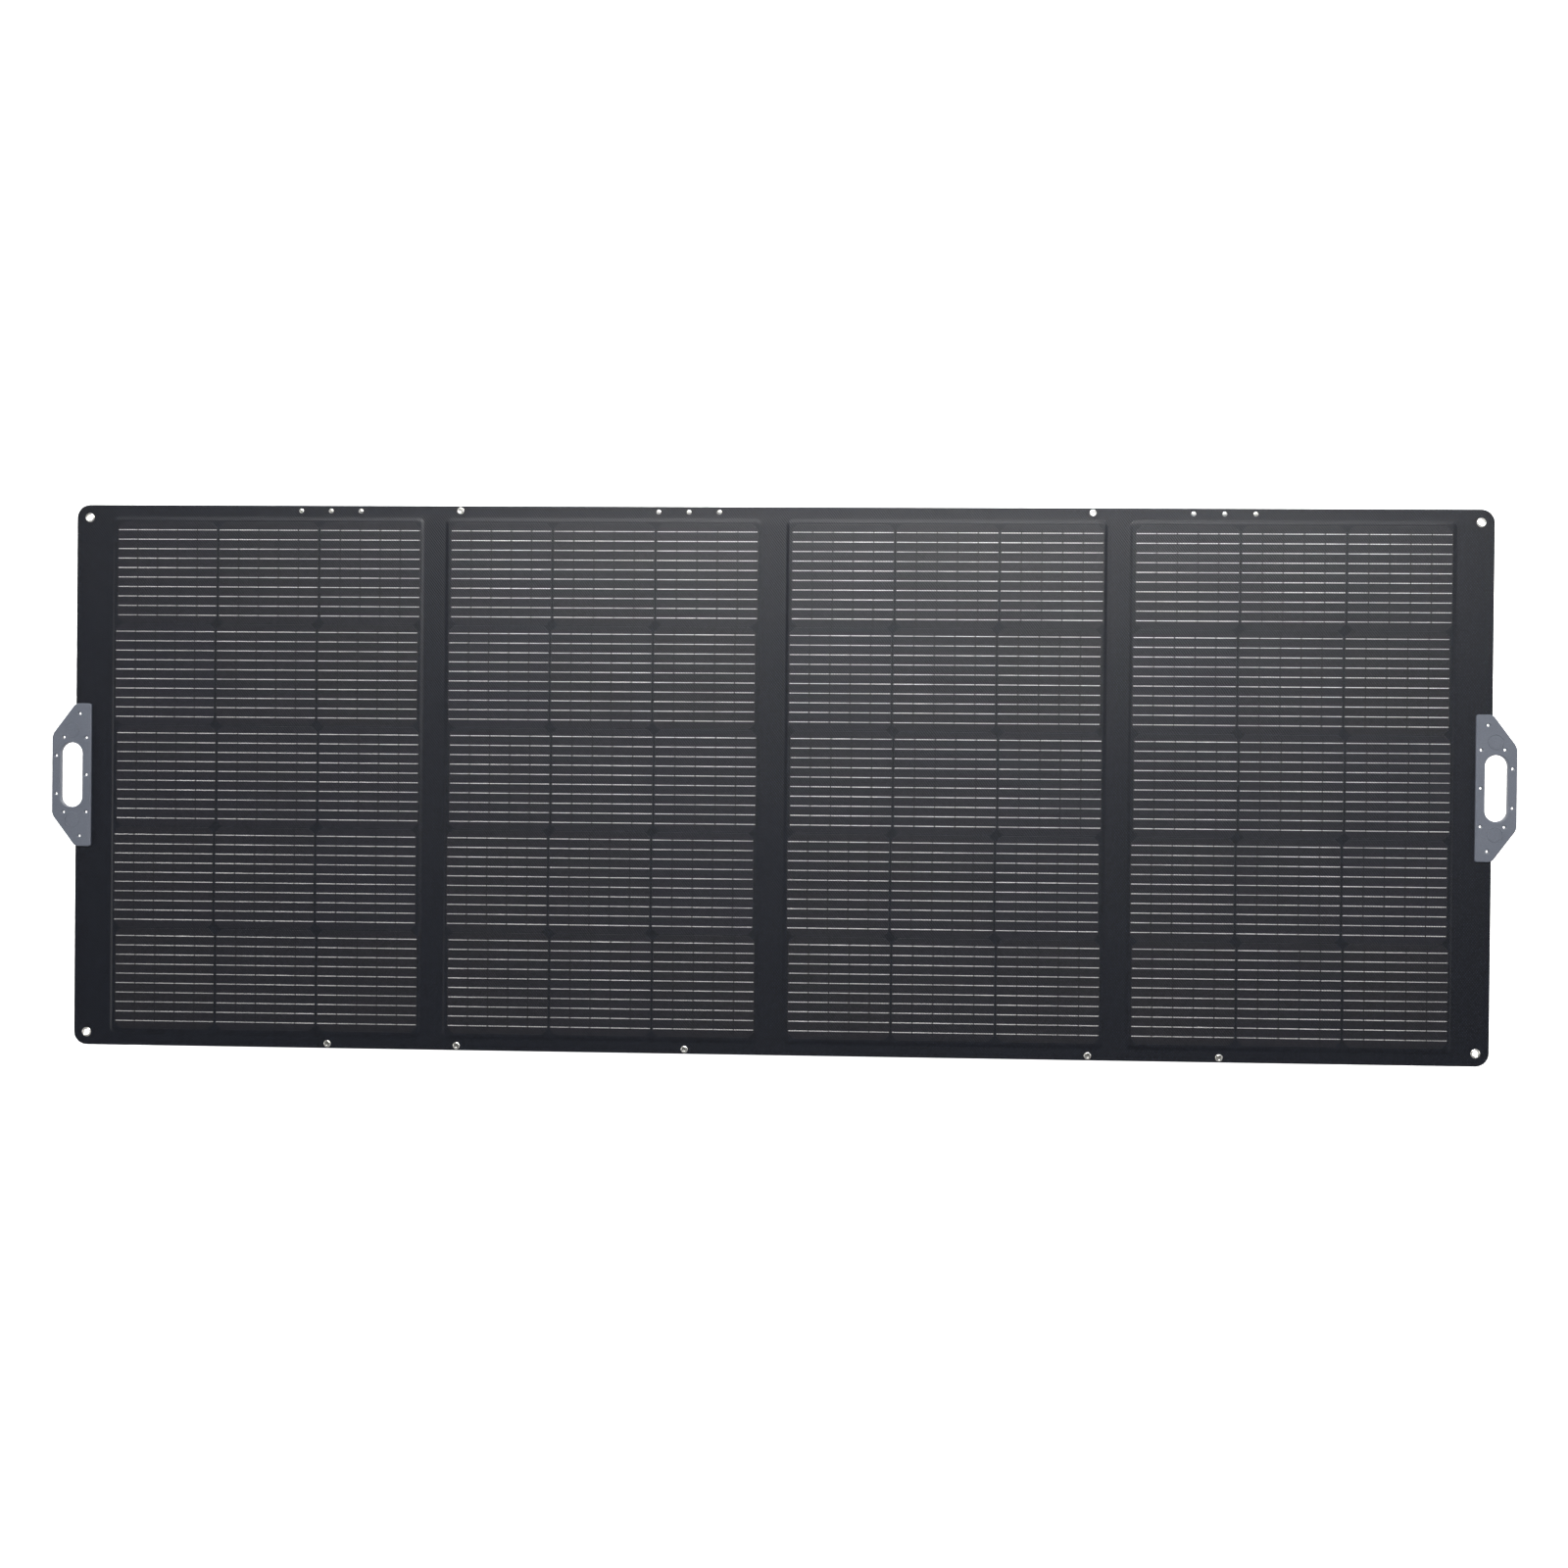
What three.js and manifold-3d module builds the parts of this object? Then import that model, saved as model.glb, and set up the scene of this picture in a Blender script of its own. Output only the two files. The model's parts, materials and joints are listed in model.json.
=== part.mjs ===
// A folding solar blanket: four stiff leaves of solar cells in one fabric skin, laid flat, front up.
// Millimetres. X runs along the blanket, Y up its height, Z out of its front. The origin is on the
// surface it lies on, under its middle.
import * as THREE from 'three';
import { mergeVertices } from 'three/addons/utils/BufferGeometryUtils.js';
import Module from 'manifold-3d';

const wasm = await Module();
wasm.setup();

// The skin's outline and the three folds.
const BODY_HALF_LENGTH = 1267.5;
const BODY_HALF_HEIGHT = 490;
const BODY_CORNER_RADIUS = 24;
const FOLD_X = 611.7;
const FOLD_GAP = 0.6;

// Heights of the layers above the surface that the blanket lies on.
const CLEARANCE = 0.3;
const COVER_THICKNESS = 0.8;
const BACK_COVER_Z = 7.1;
const FRONT_COVER_Z = BACK_COVER_Z + COVER_THICKNESS + CLEARANCE;
const FRONT_FACE_Z = FRONT_COVER_Z + COVER_THICKNESS;
const BOARD_THICKNESS = 1.2;
const MODULE_ROOF_Z = FRONT_COVER_Z + BOARD_THICKNESS + CLEARANCE;
const MODULE_FACE_Z = MODULE_ROOF_Z + COVER_THICKNESS;
const CELL_THICKNESS = 0.3;
const HANDLE_THICKNESS = 13.2;

// Solar cells: square wafers with cut corners, in staggered rows.
const CELL_SIZE = 182;
const CELL_CHAMFER = 7.35;
const COLUMN_PITCH = 185.6;
const ROW_PITCH = 184;
const ROW_SHIFT = 1.7;
const COLUMNS = 3;
const ROWS = 5;
const RIBBON_WIDTH = 4;
const RIBBON_INSET = 0.1;
const OUTER_LEAF_CENTRE = 916.5;
const INNER_LEAF_CENTRE = 307;

// The raised module on each leaf.
const MODULE_WIDTH = 562.5;
const MODULE_HEIGHT = 930;
const MODULE_RADIUS = 8;
const MODULE_WALL = 1;

// Handle plates at both ends, measured from the plate's outer edge.
const HANDLE_EDGE_X = 1310.4;
const HANDLE_WIDTH = 72.2;
const HANDLE_HALF_HEIGHT = 129.8;
const HANDLE_NECK_HALF_HEIGHT = 72.4;
const HANDLE_SHOULDER = 43;
const SLOT_INSET = 15.6;
const SLOT_WIDTH = 40.3;
const SLOT_HEIGHT = 117;
const SLOT_WALL = 2.2;
const SHEET_POCKET_X = BODY_HALF_LENGTH + 0.5;
const THROUGH_HOLE_RADIUS = 2.3;
const COUNTERBORE_RADIUS = 5.2;
const SKIN_HOLE_RADIUS = 3.4;
const THROUGH_HOLES = [[51, 111], [51, -111], [21.5, 68], [21.5, -68], [63, 67.5],
  [63, -67.5], [7.8, 34.7], [7.8, -34.7], [63, 0]];
const MAGNET_INSET = 37.5;
const MAGNET_Y = 81.5;
const MAGNET_RADIUS = 13.5;
const MAGNET_PLAY = 0.2;
const MAGNET_TOP_Z = 12;

// Small metal parts.
const EYELET_X = 1244;
const EYELET_Y = 467;
const EYELET_HOLE_RADIUS = 5;
const EYELET_BARREL_RADIUS = 5.6;
const EYELET_FLANGE_RADIUS = 8;
const EYELET_FLANGE_HEIGHT = 1.1;
const RIVET_Y = 480.5;
const RIVET_PITCH = 54.5;
const RIVET_CAP_RADIUS = 4.2;
const RIVET_CAP_HEIGHT = 1.3;
const RIVET_CAP_TAPER = 0.75;
const RIVET_SHANK_RADIUS = 1.5;
const RIVET_TAIL_RADIUS = 3;
const RIVET_TAIL_HEIGHT = 1.1;
const STUD_Y = 481.5;
const STUD_CAP_RADIUS = 6.25;
const STUD_CAP_HEIGHT = 1.8;
const STUD_CAP_TAPER = 0.7;
const STUD_SHANK_RADIUS = 2;
const STUD_SOCKET_RADIUS = 5.5;
const STUD_SOCKET_Z = 5.2;
const FOLD_STUD_X = 565.5;
const COVER_HOLE_GAP = 0.5;

// Kickstands on the backs of leaves 1, 2 and 4: a hinge plate riveted to the top edge and a leg.
const KICKSTANDS = [['1', -801], ['2', -153], ['4', 797]];
const HINGE_AXIS_Y = 466;
const HINGE_AXIS_Z = 3.4;
const HINGE_PIN_RADIUS = 1.3;
const HINGE_BORE_RADIUS = 1.6;
const KNUCKLE_RADIUS = 3.2;
const HINGE_HALF_WIDTH = 70;
const PLATE_KNUCKLES = [[-70, -40], [-10, 10], [40, 70]];
const LEG_KNUCKLES = [[-38, -12], [12, 38]];
const PLATE_THICKNESS = 1.6;
const PLATE_NEAR_Y = 471;
const PLATE_FAR_Y = 488;
const LEG_HALF_WIDTH = 75;
const LEG_THICKNESS = 4.6;
const LEG_TOP_Y = 461;
const LEG_FOOT_Y = -472;
const LEG_TAB_HALF_WIDTH = 16;
const LEG_TAB_Y = -488.5;
const LEG_TAB_Z = [1.6, 3.8];
const LEG_FOOT_CORNER = 14;
const LEG_TOP_CORNER = 4;
const FOOT_STUD_RADIUS = 5.5;
const FOOT_STUD_TAPER = 0.8;
const FOOT_STUD_LOW_Z = 0.2;

// The junction box on the back of leaf 4.
const BOX_CENTRE = [1110, -385];
const BOX_HALF_SIZE = [52, 34];
const BOX_BASE_Z = 4.9;
const BOX_WALL = 2;
const BOX_LID_THICKNESS = 1.2;
const GLAND_RADIUS = 2.9;
const GLAND_TAPER = 0.75;
const CABLE_BORE_RADIUS = 1.5;
const GLAND_LENGTH = 14;
const GLAND_Z = 3.4;

const ROUND_SIDES = 12;
const SMALL_SIDES = 8;
const CORNER_STEPS = 4;

function material(colour, roughness, metalness) {
  return new THREE.MeshStandardMaterial({ color: colour, roughness, metalness });
}

const LAMINATE = material(0x35383f, 0.45, 0);
const CELL = material(0x3a3b44, 0.35, 0.1);
const FABRIC = material(0x1d1e21, 0.9, 0);
const BOARD = material(0x9fa68a, 0.7, 0);
const HANDLE = material(0x70747c, 0.55, 0);
const NICKEL = material(0xc9c7c0, 0.3, 1);
const BLACK_METAL = material(0x2a2c31, 0.4, 0.6);
const LEG = material(0x222428, 0.8, 0);
const BOX = material(0x17181a, 0.5, 0);

// Closed outline through corners given as [x, y, radius], each rounded by an arc.
function roundedShape(corners, steps = CORNER_STEPS) {
  const points = [];
  corners.forEach(([x, y, radius], n) => {
    const corner = new THREE.Vector2(x, y);
    const before = new THREE.Vector2(...corners.at(n - 1)).sub(corner).normalize();
    const after = new THREE.Vector2(...corners[(n + 1) % corners.length]).sub(corner).normalize();
    if (!radius) {
      points.push(corner);
      return;
    }
    const half = Math.acos(THREE.MathUtils.clamp(before.dot(after), -1, 1)) / 2;
    const inward = before.clone().add(after).normalize();
    const centre = corner.clone().addScaledVector(inward, radius / Math.sin(half));
    const first = corner.clone().addScaledVector(before, radius / Math.tan(half)).sub(centre);
    const last = corner.clone().addScaledVector(after, radius / Math.tan(half)).sub(centre);
    const turn = Math.atan2(first.cross(last), first.dot(last));
    for (let k = 0; k <= steps; k += 1) {
      points.push(first.clone().rotateAround(new THREE.Vector2(), turn * k / steps).add(centre));
    }
  });
  return new THREE.Shape(points);
}

function rectangle(left, right, bottom, top, radius = 0, steps = CORNER_STEPS) {
  return roundedShape([[left, bottom, radius], [right, bottom, radius],
    [right, top, radius], [left, top, radius]], steps);
}

// A closed three.js geometry as a solid that can be joined and cut.
function solid(geometry) {
  const bare = geometry.clone();
  bare.deleteAttribute('normal');
  bare.deleteAttribute('uv');
  const merged = mergeVertices(bare, 1e-4);
  return new wasm.Manifold(new wasm.Mesh({
    numProp: 3,
    vertProperties: new Float32Array(merged.attributes.position.array),
    triVerts: new Uint32Array(merged.index.array),
  }));
}

function prism(shape, bottom, top) {
  const geometry = new THREE.ExtrudeGeometry(shape, { depth: top - bottom, bevelEnabled: false });
  geometry.translate(0, 0, bottom);
  return solid(geometry);
}

function block(left, right, back, front, bottom, top) {
  const geometry = new THREE.BoxGeometry(right - left, front - back, top - bottom);
  geometry.translate((left + right) / 2, (back + front) / 2, (bottom + top) / 2);
  return solid(geometry);
}

function post(x, y, radius, bottom, top, sides = SMALL_SIDES) {
  const geometry = new THREE.CylinderGeometry(radius, radius, top - bottom, sides);
  geometry.rotateX(Math.PI / 2);
  geometry.translate(x, y, (bottom + top) / 2);
  return solid(geometry);
}

function rod(left, right, y, z, radius, sides = ROUND_SIDES) {
  const geometry = new THREE.CylinderGeometry(radius, radius, right - left, sides);
  geometry.rotateZ(Math.PI / 2);
  geometry.translate((left + right) / 2, y, z);
  return solid(geometry);
}

// A turned part standing on Z, from a profile of [radius, height] points.
function turned(x, y, profile, sides) {
  const points = profile.map(([radius, height]) => new THREE.Vector2(radius, height));
  const geometry = new THREE.LatheGeometry(points, sides);
  geometry.rotateX(Math.PI / 2);
  geometry.translate(x, y, 0);
  return solid(geometry);
}

function cut(body, ...tools) {
  return tools.reduce((rest, tool) => rest.subtract(tool), body);
}

function join(body, ...others) {
  return others.reduce((sum, other) => sum.add(other), body);
}

const blanket = new THREE.Group();

function addPart(name, body, finish) {
  const { vertProperties, triVerts } = body.getMesh();
  const geometry = new THREE.BufferGeometry();
  geometry.setAttribute('position', new THREE.BufferAttribute(vertProperties, 3));
  geometry.setIndex(new THREE.BufferAttribute(triVerts, 1));
  geometry.computeVertexNormals();
  const mesh = new THREE.Mesh(geometry, finish);
  mesh.name = name;
  blanket.add(mesh);
}

const RIVETS = KICKSTANDS.flatMap(([leaf, centre]) => [-1, 0, 1].map((step) => (
  { name: `rivet_${leaf}_${step + 2}`, leaf, x: centre + step * RIVET_PITCH })));

const STUDS = [
  ...KICKSTANDS.map(([leaf, x]) => ({ name: `kickstand_${leaf}_keeper_stud`, x, y: -STUD_Y })),
  ...[-1, 1].flatMap((side) => [-1, 1].map((end) => (
    { name: `fold_stud_${side < 0 ? 'left' : 'right'}_${end < 0 ? 'bottom' : 'top'}`,
      x: side * FOLD_STUD_X, y: end * STUD_Y }))),
];

const EYELETS = [-1, 1].flatMap((side) => [-1, 1].map((end) => (
  { name: `eyelet_${side < 0 ? 'left' : 'right'}_${end < 0 ? 'bottom' : 'top'}`,
    x: side * EYELET_X, y: end * EYELET_Y })));

const LEAVES = [
  { name: 'leaf_1', left: -BODY_HALF_LENGTH, right: -FOLD_X, centre: -OUTER_LEAF_CENTRE },
  { name: 'leaf_2', left: -FOLD_X, right: 0, centre: -INNER_LEAF_CENTRE },
  { name: 'leaf_3', left: 0, right: FOLD_X, centre: INNER_LEAF_CENTRE },
  { name: 'leaf_4', left: FOLD_X, right: BODY_HALF_LENGTH, centre: OUTER_LEAF_CENTRE },
];

// One leaf's share of the skin: round outer corners, square edges along the folds.
function leafOutline({ left, right }) {
  const [near, far] = [left, right].map((x) => {
    const outer = Math.abs(x) === BODY_HALF_LENGTH;
    return { radius: outer ? BODY_CORNER_RADIUS : 0, inset: outer ? 0 : FOLD_GAP / 2 };
  });
  return roundedShape([
    [left + near.inset, -BODY_HALF_HEIGHT, near.radius],
    [right - far.inset, -BODY_HALF_HEIGHT, far.radius],
    [right - far.inset, BODY_HALF_HEIGHT, far.radius],
    [left + near.inset, BODY_HALF_HEIGHT, near.radius]]);
}

// The finger slot's outline on one side, grown by a margin: straight sides and round ends.
function slotShape(side, margin) {
  const radius = SLOT_WIDTH / 2 + margin;
  const centre = side * (HANDLE_EDGE_X - SLOT_INSET - SLOT_WIDTH / 2);
  const reach = SLOT_HEIGHT / 2 + margin;
  return rectangle(centre - radius, centre + radius, -reach, reach, radius - 0.01, 5);
}

// The holes that the metal parts and the finger slot make in both covers of a leaf.
function coverHoles({ left, right }) {
  const inside = ({ x }) => x > left && x < right;
  const reach = [BACK_COVER_Z - 1, FRONT_FACE_Z + 1];
  const holes = [
    ...EYELETS.filter(inside).map(({ x, y }) => (
      post(x, y, EYELET_BARREL_RADIUS + COVER_HOLE_GAP, ...reach, ROUND_SIDES))),
    ...RIVETS.filter(inside).map(({ x }) => (
      post(x, RIVET_Y, RIVET_SHANK_RADIUS + COVER_HOLE_GAP, ...reach))),
    ...STUDS.filter(inside).map(({ x, y }) => post(x, y, STUD_SHANK_RADIUS + COVER_HOLE_GAP, ...reach)),
  ];
  const side = Math.sign(left + right);
  if (Math.max(-left, right) === BODY_HALF_LENGTH) {
    const overSkin = THROUGH_HOLES.filter(([inset]) => HANDLE_EDGE_X - inset < BODY_HALF_LENGTH);
    holes.push(prism(slotShape(side, SLOT_WALL + COVER_HOLE_GAP), ...reach));
    holes.push(...overSkin.map(([inset, y]) => (
      post(side * (HANDLE_EDGE_X - inset), y, SKIN_HOLE_RADIUS, ...reach))));
  }
  return holes;
}

function moduleShape({ centre }, inset) {
  const [width, height] = [MODULE_WIDTH / 2 - inset, MODULE_HEIGHT / 2 - inset];
  return rectangle(centre - width, centre + width, -height, height, MODULE_RADIUS - inset, 3);
}

function addCovers(leaf) {
  const holes = coverHoles(leaf);
  const outline = leafOutline(leaf);
  const skin = prism(outline, FRONT_COVER_Z, FRONT_FACE_Z);
  const raised = prism(moduleShape(leaf, 0), FRONT_COVER_Z, MODULE_FACE_Z);
  const hollow = prism(moduleShape(leaf, MODULE_WALL), FRONT_COVER_Z - 1, MODULE_ROOF_Z);
  addPart(`${leaf.name}_front_cover`, cut(join(skin, raised), hollow, ...holes), LAMINATE);
  const back = prism(outline, BACK_COVER_Z, BACK_COVER_Z + COVER_THICKNESS);
  addPart(`${leaf.name}_back_cover`, cut(back, ...holes), FABRIC);
}

function addBoard(leaf) {
  const shape = moduleShape(leaf, MODULE_WALL + CLEARANCE);
  addPart(`${leaf.name}_board`, prism(shape, FRONT_COVER_Z, FRONT_COVER_Z + BOARD_THICKNESS), BOARD);
}

// Fifteen wafers on one leaf, strung together by ribbons along each row and down the middle.
function addCells({ name, centre }) {
  const [bottom, top] = [MODULE_FACE_Z + CLEARANCE, MODULE_FACE_Z + CLEARANCE + CELL_THICKNESS];
  const half = CELL_SIZE / 2;
  const short = half - CELL_CHAMFER;
  const firstRow = -ROW_PITCH * (ROWS - 1) / 2;
  const ribbon = [bottom + RIBBON_INSET, top - RIBBON_INSET];
  let wafers = block(centre - RIBBON_WIDTH / 2, centre + RIBBON_WIDTH / 2,
    firstRow, -firstRow, ...ribbon);
  for (let row = 0; row < ROWS; row += 1) {
    const y = firstRow + row * ROW_PITCH;
    const shift = row % 2 ? -ROW_SHIFT : ROW_SHIFT;
    for (let column = 0; column < COLUMNS; column += 1) {
      const x = centre + shift + (column - (COLUMNS - 1) / 2) * COLUMN_PITCH;
      const corners = [[half, short], [short, half], [-short, half], [-half, short],
        [-half, -short], [-short, -half], [short, -half], [half, -short]];
      const wafer = new THREE.Shape(corners.map(([u, v]) => new THREE.Vector2(x + u, y + v)));
      wafers = wafers.add(prism(wafer, bottom, top));
    }
    wafers = wafers.add(block(centre - COLUMN_PITCH, centre + COLUMN_PITCH,
      y - RIBBON_WIDTH / 2, y + RIBBON_WIDTH / 2, ...ribbon));
  }
  addPart(`${name}_cells`, wafers, CELL);
}

function handleShape(side) {
  const corners = [[0, -HANDLE_NECK_HALF_HEIGHT, 20], [HANDLE_SHOULDER, -HANDLE_HALF_HEIGHT, 12],
    [HANDLE_WIDTH, -HANDLE_HALF_HEIGHT, 4.3], [HANDLE_WIDTH, HANDLE_HALF_HEIGHT, 4.3],
    [HANDLE_SHOULDER, HANDLE_HALF_HEIGHT, 12], [0, HANDLE_NECK_HALF_HEIGHT, 20]];
  return roundedShape(corners.map(([inset, y, radius]) => (
    [side * (HANDLE_EDGE_X - inset), y, radius])));
}

function addHandle(side) {
  const name = side < 0 ? 'handle_left' : 'handle_right';
  const slot = prism(slotShape(side, 0), -1, HANDLE_THICKNESS + 1);
  const holes = (radius) => THROUGH_HOLES.map(([inset, y]) => (
    post(side * (HANDLE_EDGE_X - inset), y, radius, -1, HANDLE_THICKNESS + 1)));
  const parting = BACK_COVER_Z - CLEARANCE;
  const back = prism(handleShape(side), 0, parting);
  addPart(`${name}_back_shell`, cut(back, slot, ...holes(COUNTERBORE_RADIUS)), HANDLE);

  const edges = [side * SHEET_POCKET_X, side * (HANDLE_EDGE_X - HANDLE_WIDTH - 5)];
  const sheetRoom = block(Math.min(...edges), Math.max(...edges), -HANDLE_HALF_HEIGHT - 5,
    HANDLE_HALF_HEIGHT + 5, 0, FRONT_FACE_Z + CLEARANCE);
  const slotWall = prism(slotShape(side, SLOT_WALL), -1, HANDLE_THICKNESS);
  const magnetX = side * (HANDLE_EDGE_X - MAGNET_INSET);
  const pockets = [-1, 1].map((end) => post(magnetX, end * MAGNET_Y, MAGNET_RADIUS + CLEARANCE,
    0, MAGNET_TOP_Z + CLEARANCE, ROUND_SIDES));
  const front = prism(handleShape(side), BACK_COVER_Z, HANDLE_THICKNESS);
  addPart(`${name}_front_shell`,
    cut(front, sheetRoom.subtract(slotWall), slot, ...holes(THROUGH_HOLE_RADIUS), ...pockets), HANDLE);
  [-1, 1].forEach((end) => {
    const disc = post(magnetX, end * MAGNET_Y, MAGNET_RADIUS - MAGNET_PLAY, FRONT_FACE_Z + CLEARANCE,
      MAGNET_TOP_Z, ROUND_SIDES);
    addPart(`${name}_magnet_${end < 0 ? 'bottom' : 'top'}`, disc, NICKEL);
  });
}

function addEyelet({ name, x, y }) {
  const [low, high] = [BACK_COVER_Z - CLEARANCE, FRONT_FACE_Z + CLEARANCE];
  const profile = [[EYELET_HOLE_RADIUS, low - EYELET_FLANGE_HEIGHT],
    [EYELET_FLANGE_RADIUS, low - EYELET_FLANGE_HEIGHT], [EYELET_FLANGE_RADIUS, low],
    [EYELET_BARREL_RADIUS, low], [EYELET_BARREL_RADIUS, high], [EYELET_FLANGE_RADIUS, high],
    [EYELET_FLANGE_RADIUS, high + EYELET_FLANGE_HEIGHT],
    [EYELET_HOLE_RADIUS, high + EYELET_FLANGE_HEIGHT],
    [EYELET_HOLE_RADIUS, low - EYELET_FLANGE_HEIGHT]];
  addPart(name, turned(x, y, profile, ROUND_SIDES), NICKEL);
}

function addRivet({ name, x }) {
  const cap = FRONT_FACE_Z + CLEARANCE;
  const tail = BACK_COVER_Z - CLEARANCE - PLATE_THICKNESS - CLEARANCE;
  const profile = [[0, tail - RIVET_TAIL_HEIGHT], [RIVET_TAIL_RADIUS, tail - RIVET_TAIL_HEIGHT],
    [RIVET_TAIL_RADIUS, tail], [RIVET_SHANK_RADIUS, tail], [RIVET_SHANK_RADIUS, cap],
    [RIVET_CAP_RADIUS, cap], [RIVET_CAP_RADIUS * RIVET_CAP_TAPER, cap + RIVET_CAP_HEIGHT],
    [0, cap + RIVET_CAP_HEIGHT]];
  addPart(name, turned(x, RIVET_Y, profile, SMALL_SIDES), NICKEL);
}

function addStud({ name, x, y }) {
  const cap = FRONT_FACE_Z + CLEARANCE;
  const socket = BACK_COVER_Z - CLEARANCE;
  const profile = [[0, STUD_SOCKET_Z], [STUD_SOCKET_RADIUS, STUD_SOCKET_Z],
    [STUD_SOCKET_RADIUS, socket], [STUD_SHANK_RADIUS, socket], [STUD_SHANK_RADIUS, cap],
    [STUD_CAP_RADIUS, cap], [STUD_CAP_RADIUS * STUD_CAP_TAPER, cap + STUD_CAP_HEIGHT],
    [0, cap + STUD_CAP_HEIGHT]];
  addPart(name, turned(x, y, profile, SMALL_SIDES), NICKEL);
}

function knuckles(centre, spans, tongue) {
  return spans.flatMap(([from, to]) => [
    rod(centre + from, centre + to, HINGE_AXIS_Y, HINGE_AXIS_Z, KNUCKLE_RADIUS),
    block(centre + from, centre + to, ...tongue)]);
}

function addKickstand([leaf, centre]) {
  const name = `kickstand_${leaf}`;
  const plateTop = BACK_COVER_Z - CLEARANCE;
  const plateBottom = plateTop - PLATE_THICKNESS;
  const bore = rod(centre - HINGE_HALF_WIDTH - 1, centre + HINGE_HALF_WIDTH + 1,
    HINGE_AXIS_Y, HINGE_AXIS_Z, HINGE_BORE_RADIUS);

  const plate = prism(rectangle(centre - HINGE_HALF_WIDTH, centre + HINGE_HALF_WIDTH,
    PLATE_NEAR_Y, PLATE_FAR_Y, 3, 2), plateBottom, plateTop);
  const plateTongue = [HINGE_AXIS_Y, PLATE_NEAR_Y + 4, plateBottom, HINGE_AXIS_Z + KNUCKLE_RADIUS];
  const rivetHoles = RIVETS.filter((rivet) => rivet.leaf === leaf).map(({ x }) => (
    post(x, RIVET_Y, RIVET_SHANK_RADIUS + CLEARANCE, 0, BACK_COVER_Z)));
  addPart(`${name}_hinge_plate`,
    cut(join(plate, ...knuckles(centre, PLATE_KNUCKLES, plateTongue)), bore, ...rivetHoles),
    BLACK_METAL);
  addPart(`${name}_pin`, rod(centre - HINGE_HALF_WIDTH, centre + HINGE_HALF_WIDTH,
    HINGE_AXIS_Y, HINGE_AXIS_Z, HINGE_PIN_RADIUS), NICKEL);

  const board = prism(roundedShape([[centre - LEG_HALF_WIDTH, LEG_FOOT_Y, LEG_FOOT_CORNER],
    [centre + LEG_HALF_WIDTH, LEG_FOOT_Y, LEG_FOOT_CORNER],
    [centre + LEG_HALF_WIDTH, LEG_TOP_Y, LEG_TOP_CORNER],
    [centre - LEG_HALF_WIDTH, LEG_TOP_Y, LEG_TOP_CORNER]]), 0, LEG_THICKNESS);
  const tab = prism(rectangle(centre - LEG_TAB_HALF_WIDTH, centre + LEG_TAB_HALF_WIDTH,
    LEG_TAB_Y, LEG_FOOT_Y + 30, 7.5), ...LEG_TAB_Z);
  const legTongue = [LEG_TOP_Y - 4, HINGE_AXIS_Y, 1, LEG_THICKNESS];
  const studHole = post(centre, -STUD_Y, STUD_SHANK_RADIUS + CLEARANCE, 0, LEG_THICKNESS);
  addPart(`${name}_leg`,
    cut(join(board, tab, ...knuckles(centre, LEG_KNUCKLES, legTongue)), bore, studHole), LEG);

  const [tabBottom, tabTop] = LEG_TAB_Z;
  addPart(`${name}_foot_stud`, turned(centre, -STUD_Y, [[0, FOOT_STUD_LOW_Z],
    [FOOT_STUD_RADIUS * FOOT_STUD_TAPER, FOOT_STUD_LOW_Z], [FOOT_STUD_RADIUS, tabBottom - CLEARANCE],
    [STUD_SHANK_RADIUS, tabBottom - CLEARANCE], [STUD_SHANK_RADIUS, tabTop + CLEARANCE],
    [FOOT_STUD_RADIUS, tabTop + CLEARANCE], [FOOT_STUD_RADIUS, STUD_SOCKET_Z - CLEARANCE],
    [0, STUD_SOCKET_Z - CLEARANCE]], SMALL_SIDES), NICKEL);
}

function addJunctionBox() {
  const [x, y] = BOX_CENTRE;
  const [width, height] = BOX_HALF_SIZE;
  const top = BACK_COVER_Z - CLEARANCE;
  const outline = rectangle(x - width, x + width, y - height, y + height, 6, 3);
  const inner = rectangle(x - width + BOX_WALL, x + width - BOX_WALL,
    y - height + BOX_WALL, y + height - BOX_WALL, 4, 3);
  const glandY = y - height - GLAND_LENGTH / 2;
  const glandGeometry = new THREE.CylinderGeometry(GLAND_RADIUS, GLAND_RADIUS * GLAND_TAPER,
    GLAND_LENGTH, ROUND_SIDES);
  glandGeometry.translate(x, glandY - CLEARANCE, GLAND_Z);
  const cableBore = new THREE.CylinderGeometry(CABLE_BORE_RADIUS, CABLE_BORE_RADIUS,
    GLAND_LENGTH + 2, SMALL_SIDES);
  cableBore.translate(x, glandY, GLAND_Z);
  const base = prism(outline, BOX_LID_THICKNESS + CLEARANCE, top);
  const room = prism(inner, 0, BOX_BASE_Z);
  const mouth = solid(cableBore);
  addPart('junction_box_base', cut(base, room, mouth), BOX);
  addPart('junction_box_lid', prism(outline, 0, BOX_LID_THICKNESS), BOX);
  addPart('cable_gland', cut(solid(glandGeometry), mouth), BOX);
}

LEAVES.forEach((leaf) => {
  addCovers(leaf);
  addBoard(leaf);
  addCells(leaf);
});
[-1, 1].forEach(addHandle);
EYELETS.forEach(addEyelet);
RIVETS.forEach(addRivet);
STUDS.forEach(addStud);
KICKSTANDS.forEach(addKickstand);
addJunctionBox();

export default blanket;
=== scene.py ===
"""Looks of a folding solar blanket: one embossed film skin over four stiff leaves of solar cells,
fabric folds between them, slotted handle plates, corner eyelets, press studs, and kickstands behind."""

import json
import math

import bmesh
import bpy
from bmesh.types import BMFace, BMVert
from bpy.props import FloatProperty, FloatVectorProperty, IntProperty, PointerProperty
from mathutils import Matrix, Vector


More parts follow.
